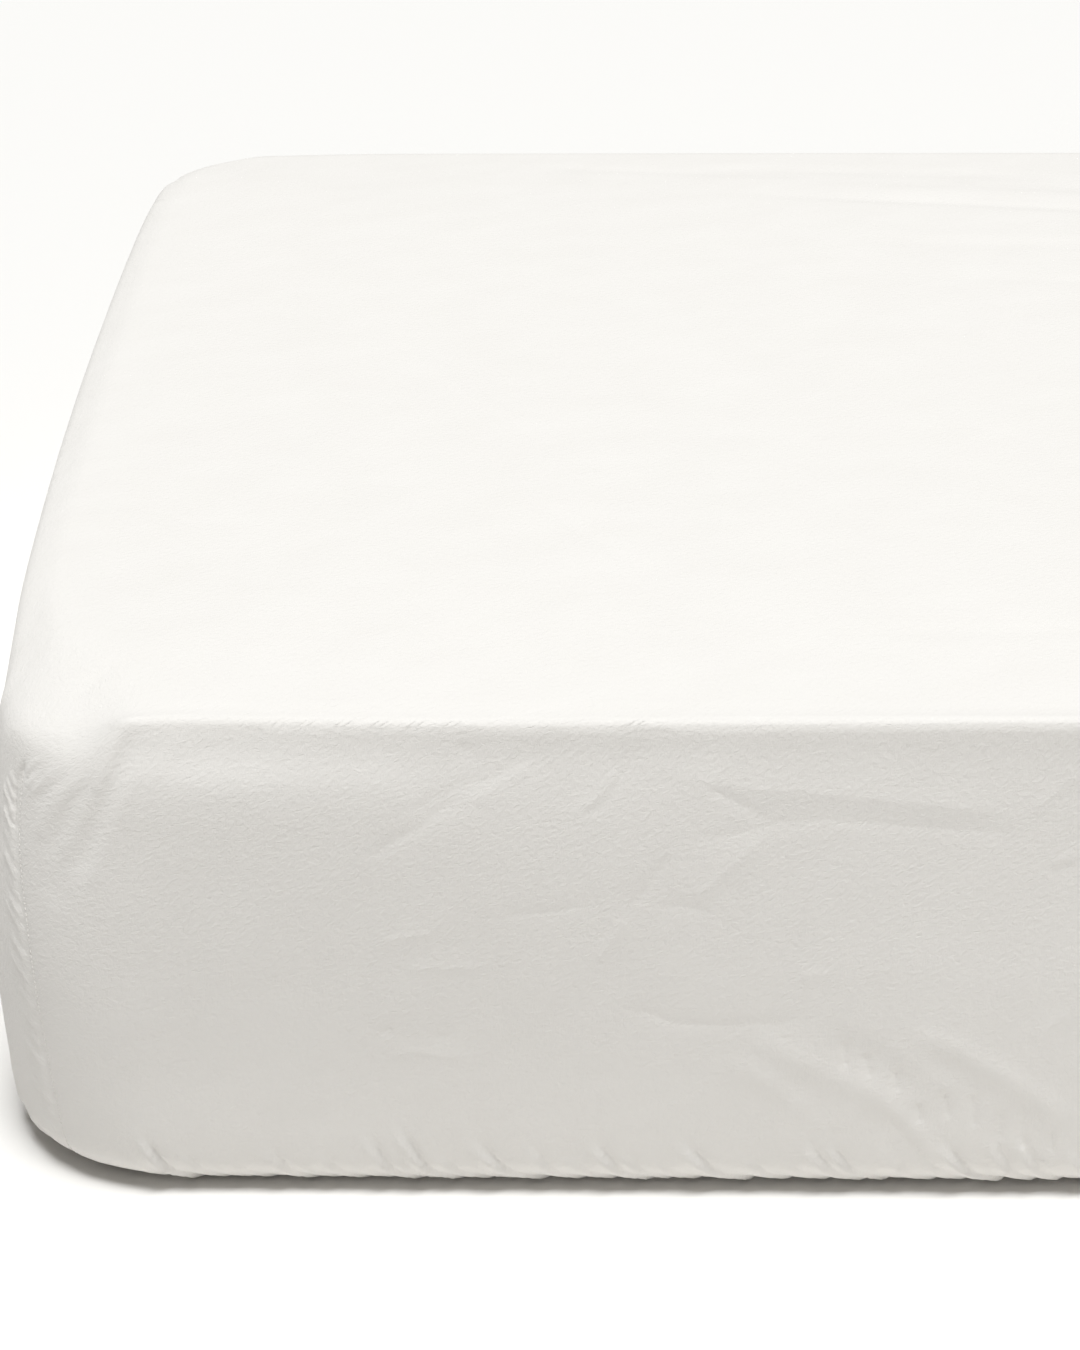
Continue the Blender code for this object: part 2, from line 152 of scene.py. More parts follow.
FRONT_CREASES = (
    # the side's upper part leans back: a broad soft swelling below the edge
    soft(13, 1.4, (45, 50), (80, 49), (120, 49), (170, 49), (230, 50), far_width=20),
    # broad folds that fan down and out from the left corner
    soft(6, -1.1, (66, 16), (62, 28), (59, 45), (55, 63), (49, 82), (40, 108), far_width=4.4),
    soft(3.6, 0.5, (72, 30), (69, 45), (63, 68), (55, 92), (46, 116)),
    soft(4.4, 0.8, (60, 24), (53, 42), (48, 58), (41, 78), (32, 102)),
    soft(4.2, -0.6, (50, 40), (42, 58), (33, 78), (24, 100)),
    soft(3.6, 0.6, (42, 40), (33, 56), (24, 73), (17, 90)),
    soft(3, -0.5, (34, 40), (25, 53), (17, 67)),
    soft(2.6, 0.4, (27, 42), (19, 52), (12, 62)),
    soft(10, -0.6, (54, 40), (48, 62), (39, 85), (30, 108), (20, 130)),
    keen(4.6, 0.4, (92, 26), (82, 36), (76, 50)),
    # the pinch where the corner seam starts
    soft(2.6, -1.6, (3.6, 40), (2.2, 48), (0.8, 60), (0, 76), (0, 96)),
    soft(1.6, 0.4, (13, 34), (9, 41), (5, 50)),
    soft(1.6, -0.3, (15, 39), (11, 46), (7, 56)),
    soft(1.8, 0.4, (14, 48), (9, 58)),
    # left of the middle: a shallow trough between two lines that climb to the right
    keen(4.5, -0.5, (194, 91), (201, 87), (208, 81), (221, 73), (238, 59), (248, 52), far_width=4),
    keen(4.5, -0.4, (214, 65), (224, 60), (237, 51), (264, 43), (272, 37), (288, 34), far_width=6),
    keen(5, 0.4, (251, 60), (260, 51), (272, 43), (284, 38)),
    keen(3.4, -0.3, (240, 28), (252, 36)),
    keen(3.5, -0.3, (300, 74), (310, 65), (318, 62), (323, 56), (330, 45), (335, 35), (342, 30)),
    keen(5, 0.5, (303, 70), (314, 60), (324, 48), (329, 38), far_width=4),
    # the long sweep: a crest above, a crease below, and the cloth between them leaning in
    keen(16, 0.8, (342, 36), (373, 45), (396, 49), (423, 51), (456, 54), (484, 58), (512, 61), (539, 64),
         (562, 67), far_width=12),
    keen(12, -0.6, (360, 85), (377, 80), (388, 78), (403, 75), (414, 71), (430, 69), (457, 69), (485, 72),
         (513, 74), (534, 76), (549, 78), (558, 76), far_width=6),
    keen(4, 0.4, (555, 66), (573, 48), (584, 40)),
    keen(3.5, -0.5, (377, 48), (393, 57), (414, 69)),
    keen(3.8, 0.4, (413, 77), (399, 91), (384, 106), (370, 118), far_width=5),
    keen(3, -0.3, (354, 121), (368, 120), (388, 124)),
    keen(3.2, -0.4, (362, 88), (355, 97), (348, 109), (340, 122)),
    keen(3.4, 0.4, (339, 126), (326, 147), (321, 155)),
    keen(3, -0.3, (266, 127), (283, 124), (302, 122), (322, 119)),
    keen(3, 0.3, (200, 145), (214, 139), (234, 136)),
    keen(3, 0.3, (214, 161), (226, 158), (250, 158), (262, 156)),
    keen(3.4, -0.4, (334, 182), (353, 187), (365, 192), (391, 194), (410, 193), (427, 192), (445, 186)),
    keen(2.8, -0.3, (568, 102), (575, 98), (584, 95)),
    keen(3.4, 0.3, (568, 97), (576, 92), (586, 90)),
    keen(3.4, -0.4, (569, 140), (569, 170), (566, 189), (566, 220)),
    keen(3, 0.3, (568, 206), (578, 193), (588, 184)),
    keen(2.4, -0.5, (200, 200), (209, 197)),
    keen(2.4, -0.4, (230, 203), (240, 201)),
    keen(3, 0.3, (202, 216), (222, 212), (238, 215), (256, 215)),
    keen(3, 0.3, (436, 166), (444, 161), (454, 162)),
    # the fan of soft folds low on the right of the middle
    soft(5, 0.9, (396, 216), (425, 235), (452, 254)),
    soft(5, -0.9, (428, 230), (438, 237), (454, 253)),
    soft(5, 0.9, (406, 198), (439, 218), (467, 232), (490, 246), (508, 268), (524, 296)),
    soft(8, -0.6, (450, 198), (483, 216), (500, 234)),
    soft(5, 0.6, (488, 208), (508, 222), (528, 238)),
    soft(6, 1.1, (494, 196), (527, 211), (550, 225), (574, 242), (598, 262)),
    soft(8, -0.6, (512, 214), (530, 226), (548, 244)),
    soft(5, -0.6, (470, 244), (484, 262), (492, 280)),
    soft(5, -0.6, (560, 244), (572, 262), (578, 278)),
    keen(3.6, -0.7, (486, 250), (511, 283), (530, 294), (549, 302)),
    soft(5, 0.7, (592, 214), (606, 236), (612, 262)),
    # short upright crinkles between those folds
    keen(2.2, -0.9, (462, 204), (464, 222)),
    keen(2.2, -0.9, (474, 212), (478, 228)),
    keen(2.2, -0.9, (492, 222), (494, 238)),
    keen(2.2, -0.9, (506, 244), (508, 258)),
    keen(2.2, -0.9, (520, 236), (524, 256)),
    keen(2.2, -0.9, (536, 238), (539, 262)),
    keen(2.2, -1, (553, 248), (554, 272)),
    keen(2.2, -0.9, (566, 256), (567, 276)),
    keen(2.2, -0.9, (583, 262), (585, 280)),
    # the rest of the long side
    soft(8, 1.5, (640, 180), (690, 206), (724, 242), (738, 268)),
    soft(9, -1, (660, 206), (696, 236), (706, 262)),
    keen(15, 1.2, (700, 52), (780, 46), (880, 60), (940, 78), far_width=11),
    keen(11, -1, (720, 74), (800, 70), (890, 84), far_width=6),
    keen(5, 0.6, (884, 70), (850, 100), (826, 128)),
    keen(4, -0.4, (760, 146), (820, 152), (884, 144)),
    keen(6, 0.8, (990, 28), (1040, 60), (1060, 104)),
    keen(6, -0.7, (1010, 30), (1060, 66), (1082, 110)),
    soft(8, 1.4, (1060, 196), (1030, 226), (1016, 262)),
    soft(8, -0.9, (1090, 204), (1052, 238), (1040, 268)),
    soft(7, 1.3, (1140, 190), (1098, 222), (1074, 264)),
    keen(14, 1.1, (1180, 60), (1270, 44), (1370, 50), (1430, 62), far_width=11),
    keen(11, -0.9, (1200, 82), (1290, 70), (1400, 76), far_width=6),
    keen(4, 0.4, (1330, 120), (1390, 138), (1440, 134)),
    soft(8, 1.3, (1400, 186), (1440, 220), (1452, 264)),
    soft(7, -0.9, (1430, 190), (1468, 222), (1480, 262)),
    keen(5, 0.6, (1560, 30), (1600, 62), (1622, 96)),
    keen(4.6, -0.6, (1580, 28), (1624, 64), (1644, 98)),
    soft(7, 1.1, (1640, 246), (1672, 222), (1690, 190)),
    keen(6, -0.9, (1826, 14), (1848, 40), (1862, 76), (1876, 114)),
    keen(5.5, 0.7, (1832, 34), (1846, 66), (1860, 100), (1872, 128)),
    soft(6, -0.7, (1846, 22), (1864, 44), (1882, 80)),
    keen(3, -1, (1896, 36), (1901, 58)),
    keen(2.6, 0.9, (1890, 44), (1898, 66)),
)
BACK_CREASES = (
    soft(6, -1.1, (66, 14), (48, 44), (34, 86), (24, 122)),
    soft(5.5, 1, (78, 18), (60, 52), (44, 94), (34, 126)),
    soft(7, -0.8, (44, 24), (26, 52), (18, 84)),
    soft(7, 0.8, (130, 26), (108, 60), (98, 92)),
    soft(7, 1.2, (240, 40), (320, 50), (420, 46), (500, 60)),
    soft(6, -1, (260, 68), (350, 76), (470, 78)),
    soft(6, 0.9, (344, 82), (312, 112), (296, 142)),
    soft(9, 1.6, (380, 190), (430, 218), (452, 266)),
    soft(9, -1, (402, 214), (424, 244), (430, 270)),
    soft(8.5, 1.4, (470, 200), (524, 226), (556, 262)),
    soft(6, -0.6, (560, 130), (640, 140), (720, 132)),
    soft(7, 1.1, (690, 30), (740, 68), (760, 110)),
    soft(7, -0.8, (714, 28), (764, 66), (786, 106)),
    soft(9, 1.5, (860, 262), (900, 226), (960, 200)),
    soft(9, -1, (880, 268), (924, 236), (980, 216)),
    soft(7, 1.2, (930, 60), (1040, 44), (1150, 54)),
    soft(6, -0.9, (960, 80), (1060, 70), (1170, 80)),
    soft(6, 0.8, (1150, 86), (1190, 114), (1206, 150)),
    soft(8.5, 1.4, (1260, 200), (1300, 232), (1312, 268)),
    soft(8.5, -0.9, (1290, 202), (1330, 236), (1340, 268)),
    soft(7, 1.1, (1400, 34), (1460, 60), (1500, 104)),
    soft(6, -0.6, (1470, 150), (1560, 160), (1640, 150)),
    soft(7, 1, (1640, 268), (1660, 232), (1700, 196)),
    soft(6, -1.1, (1832, 14), (1850, 44), (1864, 84), (1876, 120)),
    soft(5.5, 1, (1820, 20), (1838, 54), (1852, 92), (1862, 124)),
)
END_CREASES = (
    soft(6, -1, (60, 14), (44, 44), (32, 84), (22, 118)),
    soft(5.5, 0.9, (74, 18), (56, 52), (42, 92), (32, 124)),
    soft(7, 1, (180, 36), (260, 48), (350, 46)),
    soft(6, -0.8, (196, 60), (280, 70), (360, 72)),
    soft(8.5, 1.4, (240, 262), (276, 226), (330, 200)),
    soft(8, -0.9, (262, 268), (300, 236), (350, 216)),
    soft(6, 0.8, (430, 120), (500, 130), (570, 124)),
    soft(8.5, 1.3, (500, 196), (548, 224), (566, 266)),
    soft(7, 1, (600, 30), (650, 60), (676, 100)),
    soft(7, -0.8, (622, 28), (676, 62), (700, 100)),
    soft(8, 1.1, (720, 266), (748, 230), (790, 204)),
    soft(6, -1, (926, 14), (944, 46), (956, 86), (968, 118)),
    soft(5.5, 0.9, (912, 20), (930, 54), (944, 94), (956, 124)),
)
TOP_CREASES = (
    # long shallow wrinkles that fan out from the far left towards the right
    soft(8, -0.7, (-680, 455), (-560, 440), (-420, 425)),
    soft(9, -1.1, (-560, 452), (-400, 440), (-250, 424)),
    soft(8, -1.2, (-520, 380), (-330, 352), (-150, 320), (-20, 292), (80, 262)),
    soft(9, 1.2, (-480, 400), (-280, 376), (-60, 340), (120, 312)),
    soft(9, -1.6, (-300, 404), (-120, 378), (80, 348), (300, 330)),
    soft(8, 1.6, (-160, 412), (20, 388), (220, 366), (380, 360)),
    soft(8, -1.3, (-60, 438), (160, 420), (380, 404)),
    soft(9, -0.6, (-480, 262), (-300, 250), (-120, 248), (80, 250)),
    soft(9, 0.5, (-420, 276), (-220, 266), (0, 270)),
    soft(8, -0.7, (-10, 282), (60, 262), (100, 240)),
    soft(8, -0.5, (-380, 176), (-220, 166), (-60, 168)),
    soft(10, -0.9, (-110, -28), (20, -36), (180, -34), (320, -46)),
    soft(11, 0.9, (-80, -54), (60, -62), (240, -58)),
    soft(9, -0.6, (-160, -90), (-20, -104), (140, -112)),
    soft(8, -0.6, (-80, -236), (20, -244), (160, -240)),
    soft(7, -0.6, (-180, -294), (-120, -304), (-60, -312)),
    soft(7, -0.6, (-110, -316), (-30, -312), (80, -302)),
    soft(8, -0.6, (-520, -412), (-320, -406), (-140, -396), (40, -378)),
    soft(7, -0.6, (-180, -436), (-40, -420), (80, -406)),
    # single faint creases
    soft(6, 0.4, (-740, 30), (-690, -60), (-650, -100)),
    soft(6, -0.5, (-655, -220), (-620, -290), (-585, -345)),
    soft(6, 0.4, (-600, -120), (-590, -190)),
    # the half of the top that lies further right
    soft(10, -0.9, (240, 300), (420, 280), (640, 292), (800, 320)),
    soft(10, 0.9, (300, 326), (480, 308), (700, 322)),
    soft(9, -0.7, (360, 170), (540, 150), (720, 160)),
    soft(9, -0.7, (380, 20), (560, -10), (760, 6)),
    soft(10, 0.8, (420, -20), (580, -44), (740, -36)),
    soft(8, -0.6, (300, -190), (460, -214), (620, -206)),
    soft(8, -0.7, (240, -350), (430, -372), (640, -364)),
    soft(8, 0.6, (280, -372), (440, -396), (600, -392)),
)

# Puckers that the elastic pulls into the hem, in millimetres: place along the lower edge, how
# far the pucker rises up the side, how far its head leans to the left beyond its slant, its half
# width and its height. The gains below go for all rises and heights.
Pucker = namedtuple("Pucker", "along rise lean half_width height")
FRONT_PUCKERS = (
    (60, 14, 2, 3.6, 0.6), (78, 24, 4, 3.2, 1.8), (97, 20, 2, 3, 0.8), (112, 14, 2, 3.4, 0.6),
    (124, 16, 4, 3.2, 0.7), (149, 20, 2, 3.4, 1.1), (164, 14, 4, 3, 0.6), (179, 18, 4, 3, 1),
    (196, 14, 6, 3.2, 0.6), (211, 26, 3, 3, 1.4), (222, 18, 4, 2.8, 0.9), (234, 30, 5, 3, 1.5),
    (252, 18, 10, 3.2, 1.1), (267, 16, 8, 3, 0.7), (283, 24, 16, 3.8, 1.5), (306, 22, 8, 3.2, 1),
    (325, 18, 8, 3.2, 0.9), (346, 24, 10, 3.4, 1.5), (358, 20, 8, 2.8, 0.9), (374, 16, 8, 3.2, 0.8),
    (404, 24, 18, 3.8, 1.5), (427, 18, 8, 3.4, 0.9), (450, 16, 10, 3.4, 0.8), (471, 24, 14, 3.6, 1.3),
    (484, 24, 14, 3, 1.2), (512, 18, 10, 3.4, 0.9), (530, 14, 8, 3.2, 0.7), (551, 24, 16, 3.8, 1.7),
    (571, 28, 6, 3.2, 1.1), (586, 28, 4, 3.2, 1.1),
)
FRONT_PUCKERS_END = 0.600  # from here on, along the front, they are drawn at random
PUCKER_RISE_GAIN = 1.50
PUCKER_GAIN = 1.25
PUCKER_SLANT = 0.50  # how far a pucker leans to the left, as a share of its rise
PUCKER_FOOT = 0.006  # how far above the under edge a pucker is at its place along
PUCKER_TAIL = 0.016  # how far beyond the under edge it ends
PUCKER_BEND = (0.45, 0.30)  # where it bends: shares of its lean and of its rise
TROUGH_ASIDE = 1.4  # half widths from a pucker's ridge to its trough, and the trough's
TROUGH_WIDTH = 0.7  # width as a share of the ridge's
SEED = 11
# Random puckers: distance to the next one, rise, lean, half width and height, each least to most
PUCKER_GAPS = (0.009, 0.032)
PUCKER_RISES = (0.012, 0.030)
PUCKER_LEANS = (-0.014, 0.016)
PUCKER_HALF_WIDTHS = (0.0032, 0.0050)
PUCKER_HEIGHTS = (0.0005, 0.0021)
HEM_END = 0.012  # no random pucker lies nearer than this to a stretch's ends,
FIRST_PUCKER = 0.030  # and the first one no further than this from its start
HEM_START = 0.020  # where a stretch starts that has no listed puckers

# Ripples that the front left seam gathers into the short side, in millimetres: drop, length and
# height
SEAM_RIPPLES = (
    (62, 10, 0.6), (70, 14, 0.7), (78, 18, 1), (84, 8, 0.6),
    (91, 16, 1), (98, 10, 0.6), (104, 14, 0.8), (110, 8, 0.5),
    (118, 16, 1.2), (126, 10, 0.6), (132, 12, 0.7), (142, 14, 1.1),
    (150, 18, 1.1), (158, 10, 0.6), (168, 16, 1), (175, 10, 0.5),
    (182, 18, 1), (190, 10, 0.6), (199, 14, 0.8), (206, 10, 0.5),
    (214, 16, 0.8), (225, 12, 0.7), (238, 18, 0.9), (246, 10, 0.5),
    (254, 14, 0.7), (263, 18, 0.9), (274, 12, 0.6), (284, 14, 0.7),
)
RIPPLE_HALF_WIDTH = 0.0024
RIPPLE_START = 0.0012  # distance from the seam
RIPPLE_SLANT = 0.75  # how far a ripple drops, as a share of its length
RIPPLE_DROPS = (0.3, -0.3, -0.7)  # shares of that at its start, middle and end
# Random ripples of the other seams: distance to the next one, length, half width and height
RIPPLE_GAPS = (0.006, 0.012)
RIPPLE_LENGTHS = (0.008, 0.026)
RIPPLE_HALF_WIDTHS = (0.0022, 0.0030)
RIPPLE_HEIGHTS = (0.0005, 0.0012)
RIPPLES_START = 0.012  # they start this far below SEAM_TOP
RIPPLES_END = 0.015  # and end this far below the turn at the bottom

SEAM_VALLEY = 0.0008  # how deep the valley along a seam is
SEAM_VALLEY_WIDTH = 0.0028
SEAM_TOP = 0.052  # where down the drop a seam's valley starts
SEAM_FADE = 0.012  # and over what distance it gets its full depth
SEAM_STRIP = 0.0022  # the stitched strip beside a seam, where creases fade out
# Under the mattress the elastic gathers the cloth into tucks
TUCK_PITCH = 0.0140
TUCK_DEPTH = 0.0016
TUCK_FADE = 0.020  # distance over which the tucks get their full depth
TUCK_SWAYS = ((0.5, 31), (0.3, 83))  # their unevenness: shares of the pitch, and radians a metre
KEEN_ROUNDING = 0.0005  # radius of a keen crease's line
CREASE_END_HEIGHT = 0.1  # a crease's height at its ends, as a share of the whole,
CREASE_END_FADE = 0.2  # and the share of its length over which it gets there
SOFT_REACH = 3  # how many half widths from its path a crease still counts
KEEN_REACH = 5
DEEPEST_TROUGH = -0.0022  # the cloth never comes nearer to the mattress than this

# Sewing thread: ring places as (share of the stitch, share of the radius, rise in radii)
STITCH_PITCH = 0.0032
STITCH_LENGTH = 0.0024
THREAD_RADIUS = 0.00028
THREAD_SIDES = 6
THREAD_RINGS = ((0.12, 0.75, -0.1), (0.50, 1.0, 0.3), (0.88, 0.75, -0.1))
SEAM_ROW_INSET = 0.0024  # from the seam to its row of stitches
SEAM_ROW_END = 0.004  # the row ends this far above the under edge
HEM_CASING = 0.013  # from the hem's rim up to the casing's row
THREAD_LIFT = 0.2  # how far a stitch is lifted off the cloth, in thread radii

# Mesh sizes: the flat cut's first grid, and how fine it gets where the cloth bends
COARSE_SIZE = 0.020
FINE_SIZE = 0.010
FINER_SIZE = 0.005
FINEST_SIZE = 0.0025
KEEN_SIZE = 0.00125
SOFT_CROSSED = 1.4  # half widths from a soft crease within which its size counts,
SOFT_SIZE = 0.9  # that size, in half widths,
KEEN_CROSSED = 0.001  # and how far past a half width a keen crease's counts
TOO_LONG = 1.3  # an edge is halved where it is longer than this times the size
ROUNDS = 5  # and this many times at most
TOP_CORNER_FINER = 0.12  # how far round the front left corner the top is finer, and finest
TOP_CORNER_FINEST = 0.05
SEAM_FINE = 0.100  # how far from a seam a side is fine, finer and finest
SEAM_FINER = 0.016
SEAM_FINEST = 0.006
PINCH_REACH = 0.018  # the pinch at a seam's start: how far it reaches along, its middle
PINCH_DROP = 0.056  # and its half height
PINCH_HALF_HEIGHT = 0.032
LEFT_FOLDS = 0.13  # how far along and down the front's left folds are
TIGHT_EDGE = (0.22, 0.05)  # how far along and down its tight edge is finer
FRONT_SHOWN = 0.63  # how far the front's left part, and the left end's strip beside it,
LEFT_SHOWN = 0.030  # have their full detail
INNER_EDGE = 0.025  # the inner face: how far in from the top's edge it is finer,
INNER_SEAM = 0.080  # how far from a seam it is fine,
INNER_ROLL = 0.045  # how far down the roll below the top's edge is finer,
INNER_TURN = (0.010, 0.008)  # and the turn at the bottom, from above it to below it
SEAM_MERGE = 0.0008  # the cut's edges meet this closely along a seam
MATTRESS_MERGE = 0.003

COTTON = (0.868, 0.844, 0.808)
COTTON_DARKER = (0.852, 0.827, 0.790)
TICKING = (0.780, 0.755, 0.700)
TICKING_STRIPE = (0.600, 0.590, 0.560)
FLOOR = (0.860, 0.846, 0.822)
# The cloths' grains, length and width, and how high each kind stands
COTTON_YARN = (0.0060, 0.0007)
COTTON_YARN_RELIEF = 0.00008
CRINKLE = (0.0036, 0.0025)
CRINKLE_RELIEF = 0.00050
MOTTLE = (0.060, 0.035)
MOTTLE_RANGE = (0.30, 0.70)  # levels of the noise between which the tone changes
TICKING_YARN = (0.0050, 0.0008)
TICKING_YARN_RELIEF = 0.00015
STRIPE_SCALE = 12.0
STRIPE_RELIEF = 0.00040
STRIPE_RANGE = (0.62, 0.78)  # levels of the wave between which a stripe starts
THREAD_TWIST = (0.0010, 0.0002)
THREAD_TWIST_RELIEF = 0.00010
NOISE_ROUGHNESS = 0.55

# The camera, square on to the long side and looking down at it, and the light
PHOTO_HEIGHT = 1350  # pixels
FOCAL_PIXELS = 3296
SENSOR_HEIGHT = 36.0  # millimetres
CAMERA_PLACE = (-0.6458, -2.0300, 1.0991)
CAMERA_PITCH = math.radians(26.75)
SUN_COLOUR = (0.985, 0.995, 1.0)
WORLD_LEVEL = 0.05
FLOOR_HALF_SIZE = 30


def catmull_rom(rows, per_row):
    """Smooth curve through rows of numbers, per_row samples from each row to the next."""
    rows = np.asarray(rows, float)
    padded = np.vstack([2 * rows[0] - rows[1], rows, 2 * rows[-1] - rows[-2]])
    steps = np.linspace(0, 1, per_row, endpoint=False)[:, None]
    parts = []
    for i in range(len(rows) - 1):
        a, b, c, d = padded[i:i + 4]
        parts.append(0.5 * (2 * b + (c - a) * steps + (2 * a - 5 * b + 4 * c - d) * steps ** 2
                            + (3 * b - a - 3 * c + d) * steps ** 3))
    parts.append(rows[-1:])
    return np.vstack(parts)


CURVE = catmull_rom(SECTION, SAMPLES_PER_LINE)


def by_drop(drops, values):
    """Smooth curve through values given by the drop."""
    curve = catmull_rom(list(zip(drops, values)), DROP_SAMPLES)
    return lambda drop: np.interp(drop, curve[:, 0], curve[:, 1])


seam_swing = by_drop(SEAM_DROPS, SEAM_SWINGS)
front_edge_out_left = by_drop(FRONT_EDGE_DROPS, FRONT_EDGE_OUT_LEFT)
front_edge_out_even = by_drop(FRONT_EDGE_DROPS, FRONT_EDGE_OUT_EVEN)
front_edge_out_corner = by_drop(FRONT_EDGE_DROPS, FRONT_EDGE_OUT_CORNER)
front_edge_up = by_drop(FRONT_EDGE_DROPS, FRONT_EDGE_UP)
front_flat_left = by_drop(FRONT_FLAT_DROPS, FRONT_FLAT_LEFT)
front_flat_even = by_drop(FRONT_FLAT_DROPS, FRONT_FLAT_EVEN)
CURVE_DROP = np.concatenate([[0.0], np.cumsum(np.hypot(np.diff(CURVE[:, 0]), np.diff(CURVE[:, 1])))])
FULL_DROP = float(CURVE_DROP[-1])
TURN_DROP = float(CURVE_DROP[SAMPLES_PER_LINE * TURN_LINE])
UNDER_DROP = float(CURVE_DROP[SAMPLES_PER_LINE * UNDER_LINE])

TOP, FRONT, RIGHT, BACK, LEFT = range(5)
# Directions along a side, from left to right as seen from outside, and out from it. seam_sign is
# 1 on the long sides, whose cloth goes on round the corners, and -1 on the short ones.
Side = namedtuple("Side", "along out half_length half_depth seam_sign")
SIDES = {
    FRONT: Side((1, 0), (0, -1), LENGTH / 2, WIDTH / 2, 1),
    RIGHT: Side((0, 1), (1, 0), WIDTH / 2, LENGTH / 2, -1),
    BACK: Side((-1, 0), (0, 1), LENGTH / 2, WIDTH / 2, 1),
    LEFT: Side((0, -1), (-1, 0), WIDTH / 2, LENGTH / 2, -1),
}
SIDE_CREASES = {FRONT: FRONT_CREASES, RIGHT: END_CREASES, BACK: BACK_CREASES, LEFT: END_CREASES}


def eased(value):
    """Smooth step from 0 to 1."""
    value = np.clip(value, 0.0, 1.0)
    return value * value * (3.0 - 2.0 * value)


def smooth_step(value, start, end):
    """Smooth step from 0 at start to 1 at end."""
    return eased((value - start) / (end - start))


def side_of(x, y):
    """Region of each point of the flat cut: the top or one of the four drops."""
    over_x = np.abs(x) - LENGTH / 2
    over_y = np.abs(y) - WIDTH / 2
    region = np.full(np.shape(x), TOP)
    region[(over_y > ON_LINE) & (y < 0)] = FRONT
    region[(over_y > ON_LINE) & (y > 0)] = BACK
    region[(over_x > ON_LINE) & (over_x > over_y) & (x > 0)] = RIGHT
    region[(over_x > ON_LINE) & (over_x > over_y) & (x < 0)] = LEFT
    return region


def chart(side, x, y):
    """Distance along a side from its left seam, and drop below the top's edge."""
    along = side.along[0] * x + side.along[1] * y + side.half_length
    drop = side.out[0] * x + side.out[1] * y - side.half_depth
    return along, drop


def by_side(region, x, y):
    """Each side with its points: their distance along it, drop, and distance from a seam."""
    for key, side in SIDES.items():
        on = region == key
        along, drop = chart(side, x[on], y[on])
        yield key, side, on, along, drop, np.minimum(along, 2 * side.half_length - along)


def plan(side, share, proud, swing):
    """Place on the plan outline moved out by proud; share runs -1 to 1 between the seams."""
    radius = np.maximum(CORNER_RADIUS + proud, 0.0)
    inner = np.minimum(CORNER_RADIUS + proud, 0.0)
    straight = side.half_length - CORNER_RADIUS + inner
    swung = eased(1 - (1 - np.abs(share)) * side.half_length / SWING_REACH)
    reach = np.abs(share) * (straight + radius * math.pi / 4) + radius * swing * side.seam_sign * swung
    angle = np.where(radius > 0, np.maximum(reach - straight, 0) / np.maximum(radius, 1e-9), 0.0)
    along = np.sign(share) * (np.minimum(reach, straight) + radius * np.sin(angle))
    out = side.half_depth - CORNER_RADIUS + inner + radius * np.cos(angle)
    return (side.along[0] * along + side.out[0] * out, side.along[1] * along + side.out[1] * out)


def slump(x, y):
    """Slump of the corner that each point is nearest to."""
    amount = np.zeros_like(x)
    for (over_x, over_y), depth in CORNER_SLUMPS.items():
        amount[(x * over_x >= 0) & (y * over_y >= 0)] = depth
    return amount


